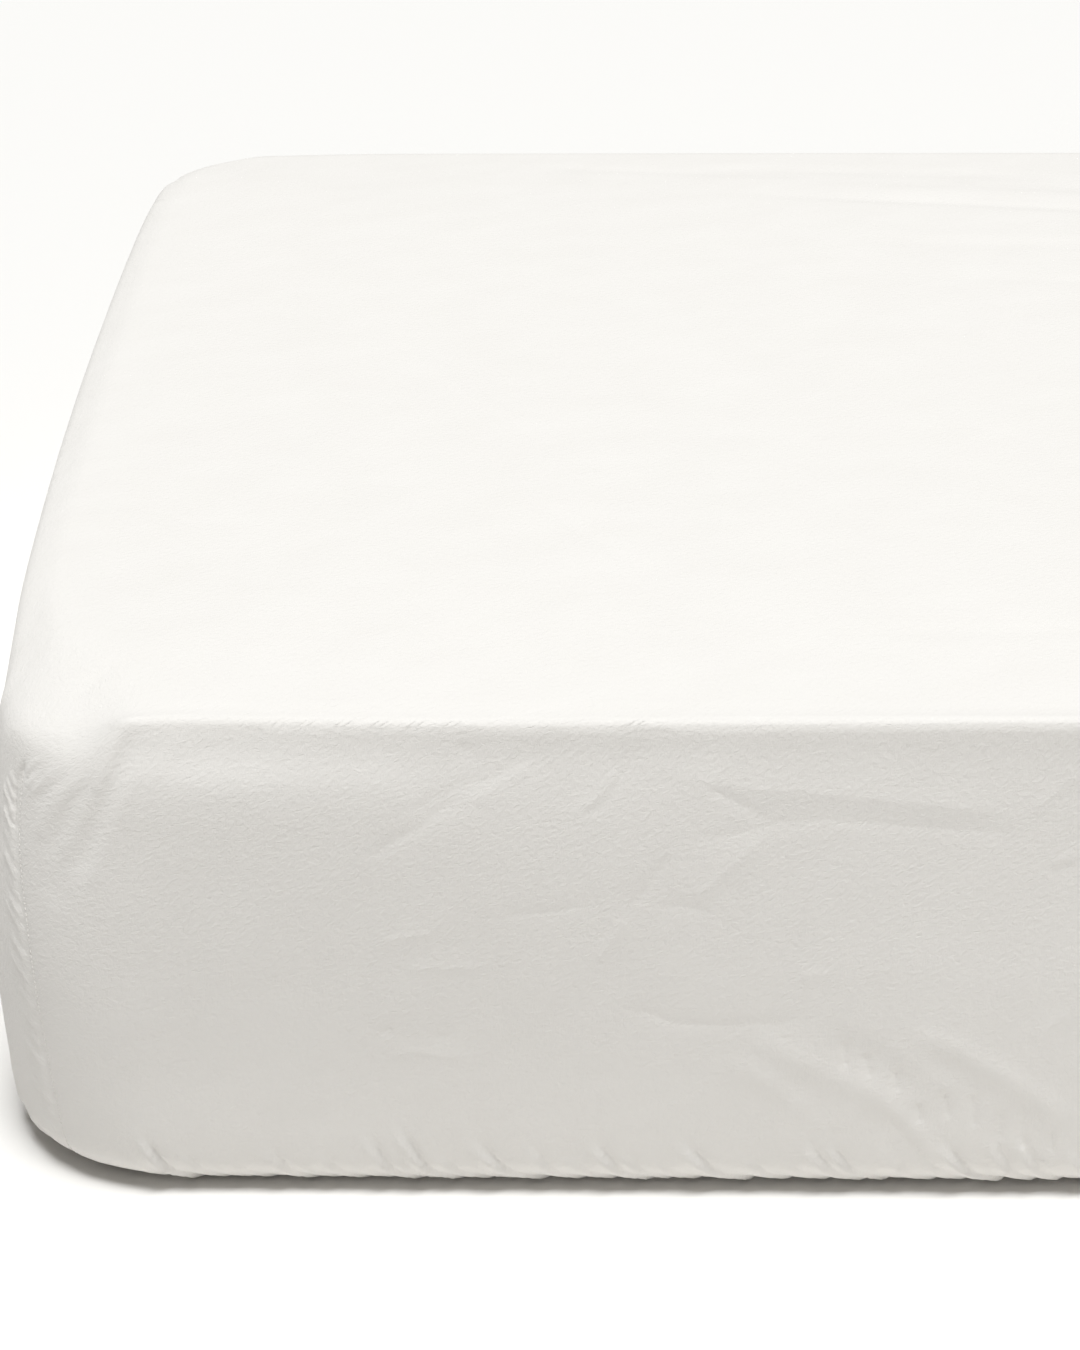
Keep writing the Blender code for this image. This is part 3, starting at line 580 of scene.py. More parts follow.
def drape(region, x, y):
    """Place of flat-cut points on the mattress, before any crease."""
    px, py, pz = np.zeros_like(x), np.zeros_like(x), np.zeros_like(x)
    for key, side, on, along, drop, from_seam in by_side(region, x, y):
        share = along / side.half_length - 1
        reach = np.interp(drop, EDGE_REACH_DROPS, EDGE_CORNER_REACH) if key == FRONT else CORNER_REACH
        corner = 1 - eased(from_seam / reach)
        line = Line(*(np.interp(drop, CURVE_DROP, values) for values in CURVE.T))
        proud = line.side_proud + (line.corner_proud - line.side_proud) * corner
        pz[on] = line.side_height + (line.corner_height - line.side_height) * corner
        if key == FRONT:
            even = smooth_step(along, LEFT_UNTIL, EVEN_FROM)
            flat_out = front_flat_left(drop) * (1 - even) + front_flat_even(drop) * even
            proud += flat_out * smooth_step(from_seam, *FLAT_START)
            at_corner = 1 - smooth_step(along, *BY_CORNER)
            tight = (1 - corner) * (EDGE_RISE_LEFT + (EDGE_RISE_EVEN - EDGE_RISE_LEFT) * even
                                    + (EDGE_RISE_CORNER - EDGE_RISE_LEFT) * at_corner)
            edge_out = front_edge_out_left(drop) * (1 - even) + front_edge_out_even(drop) * even
            edge_out += front_edge_out_corner(drop) * at_corner
            proud += edge_out * (1 - corner)
            pz[on] += front_edge_up(drop) * tight
        px[on], py[on] = plan(side, share, proud, seam_swing(drop))
        pz[on] -= slump(x[on], y[on]) * np.exp(-(from_seam ** 2 + drop ** 2) / SLUMP_REACH ** 2)
    inset_x = LENGTH / 2 - np.abs(x)
    inset_y = WIDTH / 2 - np.abs(y)
    first = SECTION[0]
    for side in SIDES.values():
        faces_long = inset_y <= inset_x if side.seam_sign == 1 else inset_y > inset_x
        on = (region == TOP) & faces_long & (x * side.out[0] + y * side.out[1] >= 0)
        inset = np.minimum(inset_x, inset_y)[on]
        along, _ = chart(side, x[on], y[on])
        share = (along - side.half_length) / (side.half_length - inset)
        from_seam = (1 - np.abs(share)) * side.half_length
        corner = (1 - eased(from_seam / CORNER_REACH)) * (1 - eased(inset / CORNER_REACH))
        proud = first.side_proud + (first.corner_proud - first.side_proud) * corner
        proud = proud * (1 - eased(inset / EDGE_REACH)) - inset
        swing = SEAM_SWINGS[0] * np.maximum(1 - inset / CORNER_RADIUS, 0)
        px[on], py[on] = plan(side, share, proud, swing)
        rise = 1 - (1 - np.minimum(inset / CROWN_REACH, 1)) ** 2
        pz[on] = first.side_height + (first.corner_height - first.side_height) * corner + CROWN * rise
    on = region == TOP
    from_corner = np.hypot(inset_x[on], inset_y[on])
    pz[on] -= slump(x[on], y[on]) * np.exp(-(from_corner / SLUMP_REACH) ** 2)
    bowed_x = px * (1 - (py / (WIDTH / 2)) ** 2 * END_BOW / (LENGTH / 2))
    bowed_y = py * (1 - (px / (LENGTH / 2)) ** 2 * FRONT_BOW / (WIDTH / 2))
    return with_cut_corners(np.stack([bowed_x, bowed_y, pz], axis=1))


def laid_on(place, point, facing, softness):
    """Move what lies beyond a plane onto it, with a soft change at its border."""
    facing = np.array(facing) / np.linalg.norm(facing)
    excess = np.clip((place - point) @ facing / softness, -EXCESS_LIMIT, EXCESS_LIMIT)
    lowered = softness * np.log1p(np.exp(excess))
    return place - facing * lowered[:, None]


def with_cut_corners(place):
    """Lay the cloth at each corner on soft slopes, and the left end's edge on a bevel."""
    seam_x, seam_y = (half - CORNER_RADIUS * (1 - math.sqrt(0.5)) for half in (LENGTH / 2, WIDTH / 2))
    for (over_x, over_y), corner_share in CORNER_SHARES.items():
        for (face_x, face_y, face_z), depth, softness, until in CORNER_SLOPES:
            point = np.array([over_x * seam_x, over_y * seam_y, EDGE_HEIGHT - depth * corner_share])
            laid = laid_on(place, point, (over_x * face_x, over_y * face_y, face_z), softness)
            from_end = LENGTH / 2 - np.abs(place[:, 0])
            from_end += SLOPE_SLANT * np.maximum(EDGE_HEIGHT - place[:, 2], 0)
            share = 1 - smooth_step(from_end, until, until + SLOPE_FADE)
            place = place + (laid - place) * share[:, None]
    bevel_start = np.array([BEVEL_START[0], 0.0, BEVEL_START[1]])
    return laid_on(place, bevel_start, BEVEL_FACING, BEVEL_SOFTNESS)


def in_box(u, v, path, margin):
    """If the places (u, v) lie in the box round a path, wider by margin all round."""
    low, high = path.min(axis=0) - margin, path.max(axis=0) + margin
    return (u > low[0]) & (u < high[0]) & (v > low[1]) & (v < high[1])


def crease_field(u, v, creases):
    """Summed height of the creases at the places (u, v)."""
    height = np.zeros_like(u)
    for crease in creases:
        path = catmull_rom(crease.path, PATH_SAMPLES)
        far_width = crease.far_width or crease.half_width
        reach = (KEEN_REACH if crease.keen else SOFT_REACH) * max(crease.half_width, far_width)
        near = in_box(u, v, path, reach)
        if not near.any():
            continue
        away, travelled, on_far_side = to_path(u[near], v[near], path)
        width = np.where(on_far_side, far_width, crease.half_width)
        inward = eased(np.minimum(travelled, 1 - travelled) / CREASE_END_FADE)
        fade = CREASE_END_HEIGHT + (1 - CREASE_END_HEIGHT) * inward
        if crease.keen:
            profile = np.exp(-(np.sqrt(away ** 2 + KEEN_ROUNDING ** 2) - KEEN_ROUNDING) / width)
        else:
            profile = np.exp(-(away / width) ** 2)
        height[near] += crease.height * fade * profile
    return height


def to_path(u, v, path):
    """Distance to a path, the share of its length where that is, and if it is on its right."""
    runs = np.diff(path, axis=0)
    lengths = np.hypot(runs[:, 0], runs[:, 1])
    before = np.concatenate([[0], np.cumsum(lengths)[:-1]])
    nearest = np.full(u.shape, np.inf)
    travelled = np.zeros_like(u)
    right = np.zeros(u.shape, bool)
    for start, run, length, done in zip(path[:-1], runs, lengths, before):
        du, dv = u - start[0], v - start[1]
        share = np.clip((du * run[0] + dv * run[1]) / length ** 2, 0, 1)
        away = np.hypot(du - share * run[0], dv - share * run[1])
        closer = away < nearest
        nearest = np.where(closer, away, nearest)
        travelled = np.where(closer, done + share * length, travelled)
        right = np.where(closer, run[0] * dv - run[1] * du > 0, right)
    return nearest, travelled / lengths.sum(), right


def pucker_creases(pucker):
    """A pucker's puffed ridge and the narrow trough on its right."""
    foot = pucker.along
    bottom = UNDER_DROP - PUCKER_FOOT
    rise = PUCKER_RISE_GAIN * pucker.rise
    height = PUCKER_GAIN * pucker.height
    lean = pucker.lean + PUCKER_SLANT * rise
    bend = (foot - PUCKER_BEND[0] * lean, bottom - PUCKER_BEND[1] * rise)
    ridge = ((foot - lean, bottom - rise), bend, (foot, bottom), (foot, UNDER_DROP + PUCKER_TAIL))
    aside = TROUGH_ASIDE * pucker.half_width
    trough = tuple((along + aside, drop) for along, drop in ridge)
    return [Crease(pucker.half_width, height, ridge),
            Crease(TROUGH_WIDTH * pucker.half_width, -height, trough)]


def uneven_puckers(start, end, draw):
    """Puckers for a stretch of hem, unevenly spaced."""
    made = []
    along = start + draw.uniform(HEM_END, FIRST_PUCKER)
    while along < end - HEM_END:
        made.append(Pucker(along, draw.uniform(*PUCKER_RISES), draw.uniform(*PUCKER_LEANS),
                           draw.uniform(*PUCKER_HALF_WIDTHS), draw.uniform(*PUCKER_HEIGHTS)))
        along += draw.uniform(*PUCKER_GAPS)
    return made


def seam_ripple(drop, length, half_width, height):
    """A short slanted ripple that runs down to the seam at a short side's left end."""
    path = tuple((RIPPLE_START + run, drop + share * RIPPLE_SLANT * length)
                 for run, share in zip((0, length / 2, length), RIPPLE_DROPS))
    return Crease(half_width, height, path)


def mirrored(crease, side_length):
    """The crease as far from a side's right end as it was from its left end."""
    return crease._replace(path=tuple((side_length - along, drop) for along, drop in crease.path))


def uneven_ripples(draw):
    """Ripples for a seam, unevenly spaced."""
    made = []
    drop = SEAM_TOP + RIPPLES_START
    while drop < TURN_DROP + RIPPLES_END:
        made.append(seam_ripple(drop, draw.uniform(*RIPPLE_LENGTHS), draw.uniform(*RIPPLE_HALF_WIDTHS),
                                draw.uniform(*RIPPLE_HEIGHTS)))
        drop += draw.uniform(*RIPPLE_GAPS)
    return made


def placed_ripples():
    """The ripples of the front left seam, as listed."""
    return [seam_ripple(drop / 1000, length / 1000, RIPPLE_HALF_WIDTH, height / 1000)
            for drop, length, height in SEAM_RIPPLES]


def all_creases():
    """Every crease of each region, the gathers of the hem and of the seams among them."""
    draw = random.Random(SEED)
    creases = {TOP: list(TOP_CREASES)}
    for key, side in SIDES.items():
        length = 2 * side.half_length
        placed = FRONT_PUCKERS if key == FRONT else ()
        puckers = [Pucker(*(size / 1000 for size in pucker)) for pucker in placed]
        puckers += uneven_puckers(FRONT_PUCKERS_END if key == FRONT else HEM_START, length, draw)
        creases[key] = list(SIDE_CREASES[key])
        for pucker in puckers:
            creases[key] += pucker_creases(pucker)
        if side.seam_sign == -1:
            creases[key] += uneven_ripples(draw)
            at_right = placed_ripples() if key == LEFT else uneven_ripples(draw)
            creases[key] += [mirrored(ripple, length) for ripple in at_right]
    # the pinch at the front left seam's start reaches round onto the short side
    for crease in FRONT_CREASES:
        if min(along for along, _ in crease.path) <= 0:
            onto_left = crease._replace(path=tuple((-along, drop) for along, drop in crease.path))
            creases[LEFT].append(mirrored(onto_left, WIDTH))
    return creases


CREASES = all_creases()


def crease_height(region, x, y):
    """Height of all creases on the draped cloth, with the seams' valleys and the tucks."""
    height = np.zeros_like(x)
    on = region == TOP
    height[on] = crease_field(x[on], y[on], CREASES[TOP])
    for key, _, on, along, drop, from_seam in by_side(region, x, y):
        local = crease_field(along, drop, CREASES[key])
        seamed = smooth_step(drop, SEAM_TOP, SEAM_TOP + SEAM_FADE)
        local *= 1 - seamed * (1 - eased(from_seam / SEAM_STRIP))
        wave = along / TUCK_PITCH + sum(share * np.sin(rate * along) for share, rate in TUCK_SWAYS)
        tucked = 0.5 + 0.5 * np.sin(2 * math.pi * wave)
        local -= TUCK_DEPTH * tucked * smooth_step(drop, UNDER_DROP, UNDER_DROP + TUCK_FADE)
        local -= SEAM_VALLEY * seamed * np.exp(-(from_seam / SEAM_VALLEY_WIDTH) ** 2)
        height[on] = local
    return np.maximum(height, DEEPEST_TROUGH)


def drape_normal(region, x, y):
    """Normal of the drape, out of the cloth."""
    across = drape(region, x + NORMAL_STEP, y) - drape(region, x - NORMAL_STEP, y)
    along = drape(region, x, y + NORMAL_STEP) - drape(region, x, y - NORMAL_STEP)
    normal = np.cross(across, along)
    return normal / np.maximum(np.linalg.norm(normal, axis=1), 1e-12)[:, None]


def surface(x, y, region, lift=0.0):
    """Final place of flat-cut points, lifted off the cloth by lift, and the drape's normals."""
    normal = drape_normal(region, x, y)
    height = crease_height(region, x, y)
    place = drape(region, x, y) + normal * (height + lift)[:, None]
    place[:, 2] = np.maximum(place[:, 2], LOWEST)
    return place, normal


def smooth_surface(x, y, region, lift, lowest):
    """Place of flat-cut points on the drape without its creases, moved out by lift."""
    place = drape(region, x, y) + drape_normal(region, x, y) * lift
    place[:, 2] = np.maximum(place[:, 2], lowest)
    return place


# ---- The sheet ----
def outer_size(x, y, runs_along_x, length):
    """How long an edge of the cut may be on the cloth's face, from where it lies and runs."""
    region = side_of(x, y)
    size = inner_size(x, y, runs_along_x, length)
    on = region == TOP
    size[on] = np.minimum(size[on], size_at_creases(x[on], y[on], CREASES[TOP], length[on]))
    from_left_corner = np.hypot(x + LENGTH / 2, y + WIDTH / 2)
    size[on & (from_left_corner < TOP_CORNER_FINER + length / 2)] = FINER_SIZE
    size[on & (from_left_corner < TOP_CORNER_FINEST + length / 2)] = FINEST_SIZE
    for key, side, on, along, drop, from_seam in by_side(region, x, y):
        runs_down = runs_along_x[on] if side.out[0] else ~runs_along_x[on]
        half = length[on] / 2
        local = size[on]
        shown = drop < UNDER_DROP
        at_seam = (from_seam < ON_LINE) & runs_down
        local[(from_seam < SEAM_FINE + half) & shown] = FINE_SIZE
        local[(from_seam < SEAM_FINER + half) & shown] = FINER_SIZE
        local[(from_seam < SEAM_FINEST + half) & shown & ~runs_down] = FINEST_SIZE
        local[(drop > UNDER_DROP) & (drop < FULL_DROP - ON_LINE) & ~runs_down] = FINER_SIZE
        local = np.minimum(local, size_at_creases(along, drop, CREASES[key], length[on]))
        if key == FRONT:
            by_corner = (along < LEFT_FOLDS + half) & (drop < LEFT_FOLDS + half)
            at_edge = (along < TIGHT_EDGE[0] + half) & (drop < TIGHT_EDGE[1] + half)
            local[by_corner] = FINEST_SIZE
            local[at_edge & ~by_corner] = FINER_SIZE
        at_pinch = np.abs(drop - PINCH_DROP) < PINCH_HALF_HEIGHT + half
        local[at_pinch & (from_seam < PINCH_REACH + half)] = KEEN_SIZE
        seen = (key == FRONT) & (along < FRONT_SHOWN) | (key == LEFT) & (along > WIDTH - LEFT_SHOWN)
        local = np.where(seen, local, np.maximum(local, FINER_SIZE))
        local[at_seam] = FINEST_SIZE
        local[(drop > UNDER_DROP) & (at_seam | (drop > FULL_DROP - ON_LINE))] = COARSE_SIZE
        size[on] = local
    return size


def inner_size(x, y, runs_along_x, length):
    """The same for the smooth face against the mattress."""
    region = side_of(x, y)
    size = np.full(x.shape, COARSE_SIZE)
    on = region == TOP
    size[on & (WIDTH / 2 - np.abs(y) < INNER_EDGE + length / 2) & ~runs_along_x] = FINER_SIZE
    size[on & (LENGTH / 2 - np.abs(x) < INNER_EDGE + length / 2) & runs_along_x] = FINER_SIZE
    for _, side, on, along, drop, from_seam in by_side(region, x, y):
        runs_down = runs_along_x[on] if side.out[0] else ~runs_along_x[on]
        local = size[on]
        local[(from_seam < INNER_SEAM) & (drop < FULL_DROP - ON_LINE)] = FINE_SIZE
        turns = (drop > TURN_DROP - INNER_TURN[0]) & (drop < UNDER_DROP + INNER_TURN[1])
        local[((drop < INNER_ROLL) | turns) & runs_down] = FINER_SIZE
        size[on] = local
    return size


def size_at_creases(u, v, creases, length):
    """How long an edge may be so that it still shows the creases that it crosses."""
    size = np.full(u.shape, COARSE_SIZE)
    for crease in creases:
        narrow = min(crease.half_width, crease.far_width or crease.half_width)
        reach = narrow + KEEN_CROSSED if crease.keen else SOFT_CROSSED * narrow
        path = catmull_rom(crease.path, ROUGH_SAMPLES)
        near = in_box(u, v, path, reach + COARSE_SIZE / 2)
        if near.any():
            away, _, _ = to_path(u[near], v[near], path)
            away -= length[near] / 2
            wanted = FINEST_SIZE if crease.keen else max(SOFT_SIZE * narrow, FINEST_SIZE)
            size[near] = np.where(away < reach, np.minimum(size[near], wanted), size[near])
            if crease.keen:
                size[near] = np.where(away < KEEN_ROUNDING, np.minimum(size[near], KEEN_SIZE), size[near])
    return size


def flat_grid():
    """The flat cross-shaped cut as a grid, in metres, with its corner squares cut out."""
    top_columns = round(LENGTH / COARSE_SIZE)
    top_lanes = round(WIDTH / COARSE_SIZE)
    rows = round(FULL_DROP / COARSE_SIZE)
    cut = bmesh.new()
    bmesh.ops.create_grid(cut, x_segments=top_columns + 2 * rows, y_segments=top_lanes + 2 * rows, size=0.5)

    def spread(share, count, full):
        index = round((share + 0.5) * (count + 2 * rows)) - rows
        over = index if index < 0 else max(index - count, 0)
        inside = min(max(index, 0), count) / count - 0.5
        return inside * full + over * FULL_DROP / rows

    for vert in cut.verts:
        vert.co.x = spread(vert.co.x, top_columns, LENGTH)
        vert.co.y = spread(vert.co.y, top_lanes, WIDTH)
    squares = []
    for face in cut.faces:
        centre = face.calc_center_median()
        if abs(centre.x) > LENGTH / 2 and abs(centre.y) > WIDTH / 2:
            squares.append(face)
    bmesh.ops.delete(cut, geom=squares, context="FACES")
    return cut


def refine(cut, size_of):
    """Halve the edges that are too long for their place, until none is."""
    for _ in range(ROUNDS):
        ends = np.array([[*edge.verts[0].co.xy, *edge.verts[1].co.xy] for edge in cut.edges])
        middle = (ends[:, :2] + ends[:, 2:]) / 2
        run = np.abs(ends[:, 2:] - ends[:, :2])
        length = np.hypot(run[:, 0], run[:, 1])
        too_long = length > TOO_LONG * size_of(middle[:, 0], middle[:, 1], run[:, 0] > run[:, 1], length)
        if not too_long.any():
            break
        edges = [edge for edge, flag in zip(cut.edges, too_long) if flag]
        bmesh.ops.subdivide_edges(cut, edges=edges, cuts=1, use_grid_fill=True)


def linked(name, data):
    """A new object in the scene."""
    made = bpy.data.objects.new(name, data)
    bpy.context.scene.collection.objects.link(made)
    return made


def new_object(name, source, material, smooth=True):
    """A new object from a bmesh, which is used up."""
    mesh = bpy.data.meshes.new(name)
    source.to_mesh(mesh)
    source.free()
    mesh.materials.append(material)
    if smooth:
        mesh.shade_smooth()
    return linked(name, mesh)


def lay(cut, place_of, merge_distance):
    """Move the flat cut's points to their places over the mattress and join its edges there."""
    x, y = np.array([vert.co.xy for vert in cut.verts]).T
    for vert, spot in zip(cut.verts, place_of(x, y, side_of(x, y))):
        vert.co = spot
    edge = [vert for vert in cut.verts if vert.is_boundary]
    bmesh.ops.remove_doubles(cut, verts=edge, dist=merge_distance)


def laid_cut(size_of, place_of):
    """The flat cut, refined and laid over the mattress, with its corner darts closed."""
    cut = flat_grid()
    refine(cut, size_of)
    flat_map = cut.loops.layers.uv.new("flat_cut")
    for face in cut.faces:
        for loop in face.loops:
            loop[flat_map].uv = loop.vert.co.xy
    lay(cut, place_of, SEAM_MERGE)
    return cut


def make_sheet(material):
    """The cloth's creased outer face and its smooth inner one, joined along the hem."""
    sheet = laid_cut(outer_size, lambda x, y, region: surface(x, y, region)[0])
    inner = laid_cut(inner_size, partial(smooth_surface, lift=-INNER_FACE, lowest=LOWEST + INNER_FACE))
    bmesh.ops.reverse_faces(inner, faces=inner.faces)
    lining = bpy.data.meshes.new("inner_face")
    inner.to_mesh(lining)
    inner.free()
    sheet.from_mesh(lining)
    bpy.data.meshes.remove(lining)
    rims = [edge for edge in sheet.edges if edge.is_boundary]
    bmesh.ops.bridge_loops(sheet, edges=rims)
    return new_object("cotton_sheet", sheet, material)


# ---- Sewing ----
def on_cut(side, along, drop):
    """Place on the flat cut of a distance along a side and a drop."""
    x = side.along[0] * (along - side.half_length) + side.out[0] * (drop + side.half_depth)
    y = side.along[1] * (along - side.half_length) + side.out[1] * (drop + side.half_depth)
    return x, y


def stitch_row(key, start, end):
    """Ends and facing of each stitch in a row from start to end, both (along, drop)."""
    length = math.hypot(end[0] - start[0], end[1] - start[1])
    count = int(length / STITCH_PITCH)

    def on_cloth(share):
        along = start[0] + (end[0] - start[0]) * share
        drop = start[1] + (end[1] - start[1]) * share
        x, y = on_cut(SIDES[key], along, drop)
        return surface(x, y, np.full(count, key), THREAD_LIFT * THREAD_RADIUS)

    first = np.arange(count) / count
    starts, normals = on_cloth(first)
    ends, _ = on_cloth(first + STITCH_LENGTH / STITCH_PITCH / count)
    return starts, ends, normals


def make_stitches(name, rows, material):
    """Short rounded threads whose ends go down into the cloth."""
    verts, faces = [], []
    for starts, ends, normals in rows:
        for start, end, normal in zip(starts, ends, normals):
            run = end - start
            sideways = np.cross(run, normal)
            sideways *= THREAD_RADIUS / np.linalg.norm(sideways)
            outward = normal * THREAD_RADIUS
            base = len(verts)
            verts.append(start - outward)
            for share, girth, lift in THREAD_RINGS:
                for corner in range(THREAD_SIDES):
                    turn = 2 * math.pi * corner / THREAD_SIDES
                    verts.append(start + run * share + outward * (lift + girth * math.cos(turn))
                                 + sideways * girth * math.sin(turn))
            verts.append(end - outward)
            last = base + 1 + THREAD_SIDES * (len(THREAD_RINGS) - 1)
            for corner in range(THREAD_SIDES):
                after = (corner + 1) % THREAD_SIDES
                faces.append((base, base + 1 + after, base + 1 + corner))
                for ring in range(len(THREAD_RINGS) - 1):
                    near = base + 1 + ring * THREAD_SIDES
                    far = near + THREAD_SIDES
                    faces.append((near + corner, near + after, far + after, far + corner))
                faces.append((last + corner, last + after, len(verts) - 1))
    mesh = bpy.data.meshes.new(name)
    mesh.from_pydata([tuple(vert) for vert in verts], [], faces)
    mesh.materials.append(material)
    mesh.shade_smooth()
    return linked(name, mesh)


def seam_rows():
    """A row down each corner's dart, on the long side's cloth."""
    rows = []
    for key in (FRONT, BACK):
        for along in (SEAM_ROW_INSET, LENGTH - SEAM_ROW_INSET):
            rows.append(stitch_row(key, (along, SEAM_TOP), (along, UNDER_DROP - SEAM_ROW_END)))
    return rows


def hem_rows():
    """A row round the hem's casing, under the mattress."""
    drop = FULL_DROP - HEM_CASING
    return [stitch_row(key, (SEAM_ROW_INSET, drop), (2 * side.half_length - SEAM_ROW_INSET, drop))
            for key, side in SIDES.items()]


# ---- The mattress inside ----
def make_mattress(material):
    """The mattress fills the drape a little inside the cloth, with a flat base."""
    cut = flat_grid()
    lay(cut, partial(smooth_surface, lift=-MATTRESS_CLEARANCE, lowest=MATTRESS_BASE), MATTRESS_MERGE)
    rim = [edge for edge in cut.edges if edge.is_boundary]
    bmesh.ops.contextual_create(cut, geom=rim)
    bmesh.ops.triangulate(cut, faces=[face for face in cut.faces if len(face.verts) > 4])
    bmesh.ops.recalc_face_normals(cut, faces=cut.faces)
    return new_object("ticking_mattress", cut, material)


# ---- Materials ----
def shader_of(name, colour, roughness):
    material = bpy.data.materials.new(name)
    material.use_nodes = True
    shader = material.node_tree.nodes["Principled BSDF"]
    shader.inputs["Base Color"].default_value = (*colour, 1.0)
    shader.inputs["Roughness"].default_value = roughness
    return material, material.node_tree, shader


def add_node(tree, kind, **values):
    node = tree.nodes.new(kind)
    for key, value in values.items():
        if key in node.inputs:
            node.inputs[key].default_value = value
        else:
            setattr(node, key, value)
    return node


def stretched_noise(tree, vector, turn, size, detail=2.0, distortion=0.0):
    """Noise with grains of the given size in metres, turned by degrees on the cloth."""
    grain = add_node(tree, "ShaderNodeMapping", vector_type="TEXTURE")
    grain.inputs["Rotation"].default_value = (0, 0, math.radians(turn))
    grain.inputs["Scale"].default_value = (*size, 1)
    tree.links.new(vector, grain.inputs["Vector"])
    noise = add_node(tree, "ShaderNodeTexNoise", Scale=1.0, Detail=detail, Roughness=NOISE_ROUGHNESS,
                     Distortion=distortion)
    tree.links.new(grain.outputs["Vector"], noise.inputs["Vector"])
    return noise.outputs["Fac"]


def bumped(tree, height, distance, under=None):
    """Bump over the bump that is under it."""
    bump = add_node(tree, "ShaderNodeBump", Strength=1.0, Distance=distance)
    tree.links.new(height, bump.inputs["Height"])
    if under:
        tree.links.new(under, bump.inputs["Normal"])
    return bump.outputs["Normal"]


def woven(tree, vector, yarn, relief):
    """Bump of slubby yarn that runs both ways."""
    across = bumped(tree, stretched_noise(tree, vector, 0, yarn), relief)
    return bumped(tree, stretched_noise(tree, vector, 90, yarn), relief, across)


def two_tones(tree, factor, span, low_tone, high_tone):
    """Colours that go from low_tone to high_tone as factor goes through span."""
    ramp = add_node(tree, "ShaderNodeValToRGB")
    for element, place, tone in zip(ramp.color_ramp.elements, span, (low_tone, high_tone)):
        element.position = place
        element.color = (*tone, 1.0)
    tree.links.new(factor, ramp.inputs["Fac"])
    return ramp.outputs["Color"]


def make_cotton():
    """Washed cotton: fine crinkle, slubby threads both ways and faint changes of tone."""
    material, tree, shader = shader_of("washed_cotton", COTTON, roughness=0.92)
    shader.inputs["Sheen Weight"].default_value = 0.12
    shader.inputs["Sheen Roughness"].default_value = 0.6
    shader.inputs["Specular IOR Level"].default_value = 0.2
    flat = add_node(tree, "ShaderNodeUVMap", uv_map="flat_cut").outputs["UV"]
    threads = woven(tree, flat, COTTON_YARN, COTTON_YARN_RELIEF)
    crinkle = stretched_noise(tree, flat, turn=35, size=CRINKLE, detail=3.0, distortion=0.6)
    tree.links.new(bumped(tree, crinkle, CRINKLE_RELIEF, threads), shader.inputs["Normal"])
    mottle = stretched_noise(tree, flat, turn=20, size=MOTTLE, detail=3.0)
    colour = two_tones(tree, mottle, MOTTLE_RANGE, COTTON_DARKER, COTTON)
    tree.links.new(colour, shader.inputs["Base Color"])
    return material


def make_thread():
    """Cotton thread with a rough, twisted surface."""
    material, tree, shader = shader_of("cotton_thread", COTTON_DARKER, roughness=0.80)
    place = add_node(tree, "ShaderNodeTexCoord").outputs["Object"]
    twist = stretched_noise(tree, place, turn=45, size=THREAD_TWIST)
    tree.links.new(bumped(tree, twist, THREAD_TWIST_RELIEF), shader.inputs["Normal"])
    return material


def make_ticking():
    """Woven ticking: narrow stripes in two creams over a fine weave."""
    material, tree, shader = shader_of("mattress_ticking", TICKING, roughness=0.90)
    place = add_node(tree, "ShaderNodeTexCoord").outputs["Object"]
    stripes = add_node(tree, "ShaderNodeTexWave", Scale=STRIPE_SCALE, Distortion=0.0)
    tree.links.new(place, stripes.inputs["Vector"])
    colour = two_tones(tree, stripes.outputs["Fac"], STRIPE_RANGE, TICKING, TICKING_STRIPE)
    tree.links.new(colour, shader.inputs["Base Color"])
    weave = woven(tree, place, TICKING_YARN, TICKING_YARN_RELIEF)
    tree.links.new(bumped(tree, stripes.outputs["Fac"], STRIPE_RELIEF, weave), shader.inputs["Normal"])
    return material


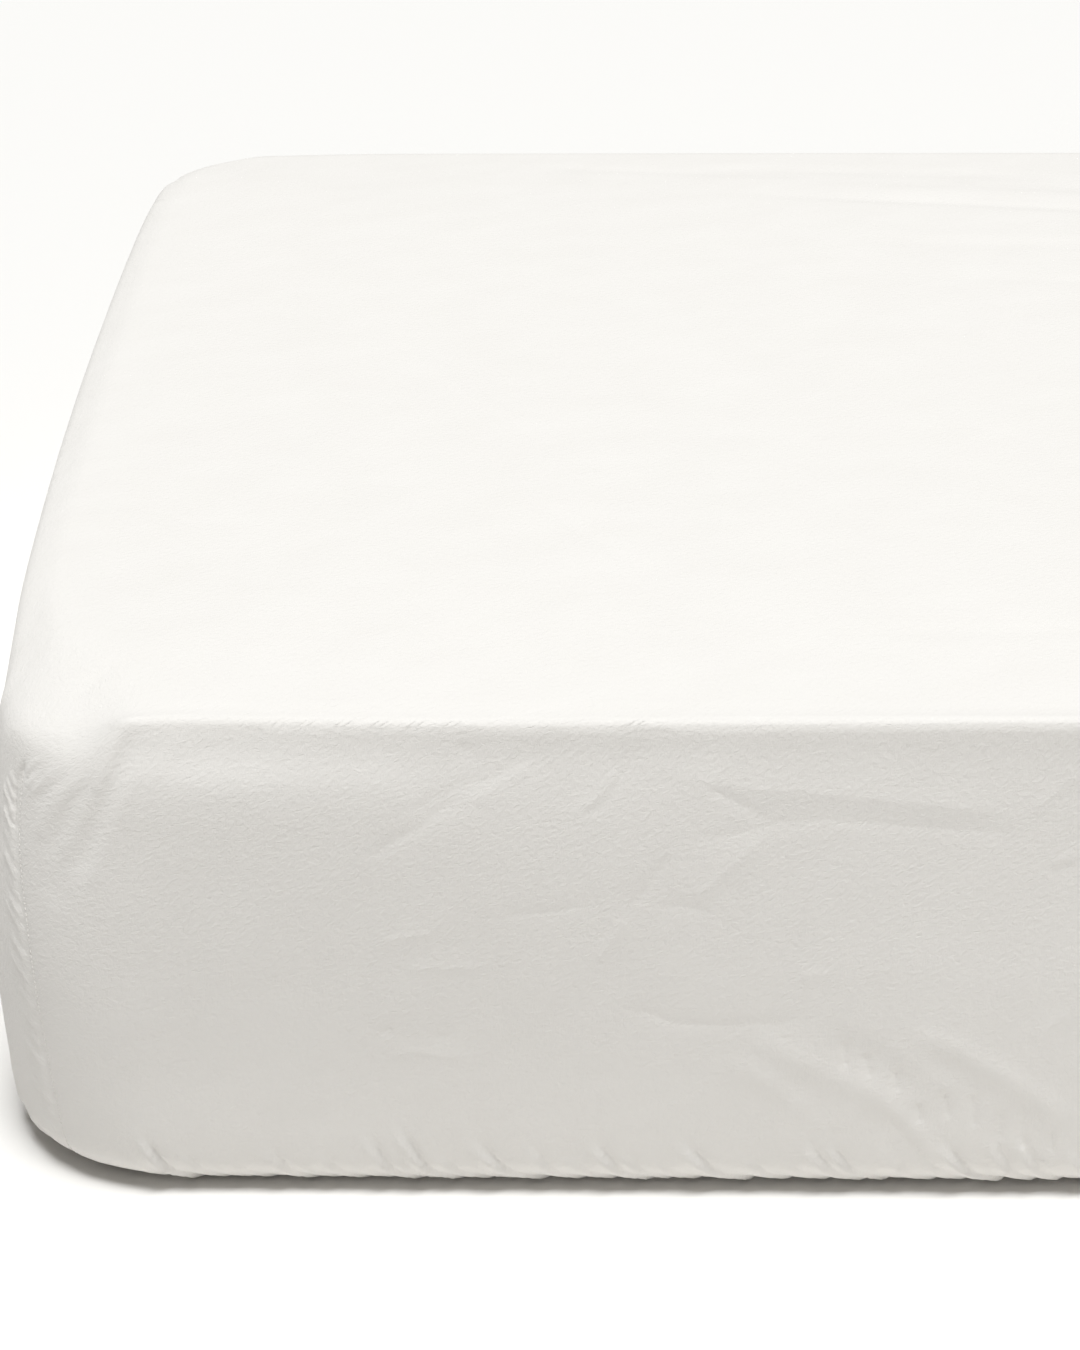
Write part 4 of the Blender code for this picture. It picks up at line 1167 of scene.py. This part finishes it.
# ---- Camera, light and floor ----
def make_camera():
    camera = linked("camera", bpy.data.cameras.new("camera"))
    camera.data.sensor_fit = "VERTICAL"
    camera.data.sensor_height = SENSOR_HEIGHT
    camera.data.lens = FOCAL_PIXELS / PHOTO_HEIGHT * SENSOR_HEIGHT
    camera.data.clip_end = 100
    camera.location = CAMERA_PLACE
    camera.rotation_euler = (math.pi / 2 - CAMERA_PITCH, 0, 0)
    bpy.context.scene.camera = camera


def add_sun(name, azimuth, elevation, level, softness):
    """A soft far light; level is what it adds to the top's brightness, as a share of white."""
    sun = bpy.data.lights.new(name, "SUN")
    sun.energy = level * math.pi / math.sin(math.radians(elevation))
    sun.angle = math.radians(softness)
    sun.color = SUN_COLOUR
    linked(name, sun).rotation_euler = (math.radians(90 - elevation), 0, math.radians(azimuth))


def add_fill(name, place, target, size, power):
    """A soft lamp at place that faces target; power is in watts."""
    lamp = bpy.data.lights.new(name, "AREA")
    lamp.shape = "DISK"
    lamp.size = size
    lamp.energy = power
    holder = linked(name, lamp)
    holder.location = place
    holder.rotation_euler = (Vector(place) - Vector(target)).to_track_quat("Z", "Y").to_euler()


def make_stage():
    world = bpy.data.worlds.new("studio")
    world.use_nodes = True
    world.node_tree.nodes["Background"].inputs["Color"].default_value = (1.0, 1.0, 1.0, 1.0)
    world.node_tree.nodes["Background"].inputs["Strength"].default_value = WORLD_LEVEL
    bpy.context.scene.world = world
    add_sun("key", azimuth=0, elevation=82, level=1.12, softness=24)
    add_fill("fill", place=(0.35, -1.9, 0.40), target=(-0.4, -0.5, 0.15), size=0.8, power=1.3)
    ground = bmesh.new()
    bmesh.ops.create_grid(ground, x_segments=1, y_segments=1, size=FLOOR_HALF_SIZE)
    pale, _, _ = shader_of("pale_floor", FLOOR, roughness=0.9)
    floor = new_object("floor", ground, pale, smooth=False)
    bpy.context.scene.view_settings.view_transform = "Standard"


def main():
    make_camera()
    make_stage()
    cotton = make_cotton()
    mattress = make_mattress(make_ticking())
    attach(mattress, "root")
    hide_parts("mattress")
    sheet = make_sheet(cotton)
    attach(sheet, "root")
    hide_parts("fitted_sheet")
    thread = make_thread()
    sewing = [make_stitches("seam_stitches", seam_rows(), thread),
              make_stitches("hem_stitches", hem_rows(), thread)]
    for stitches in sewing:
        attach(stitches, "root")


main()
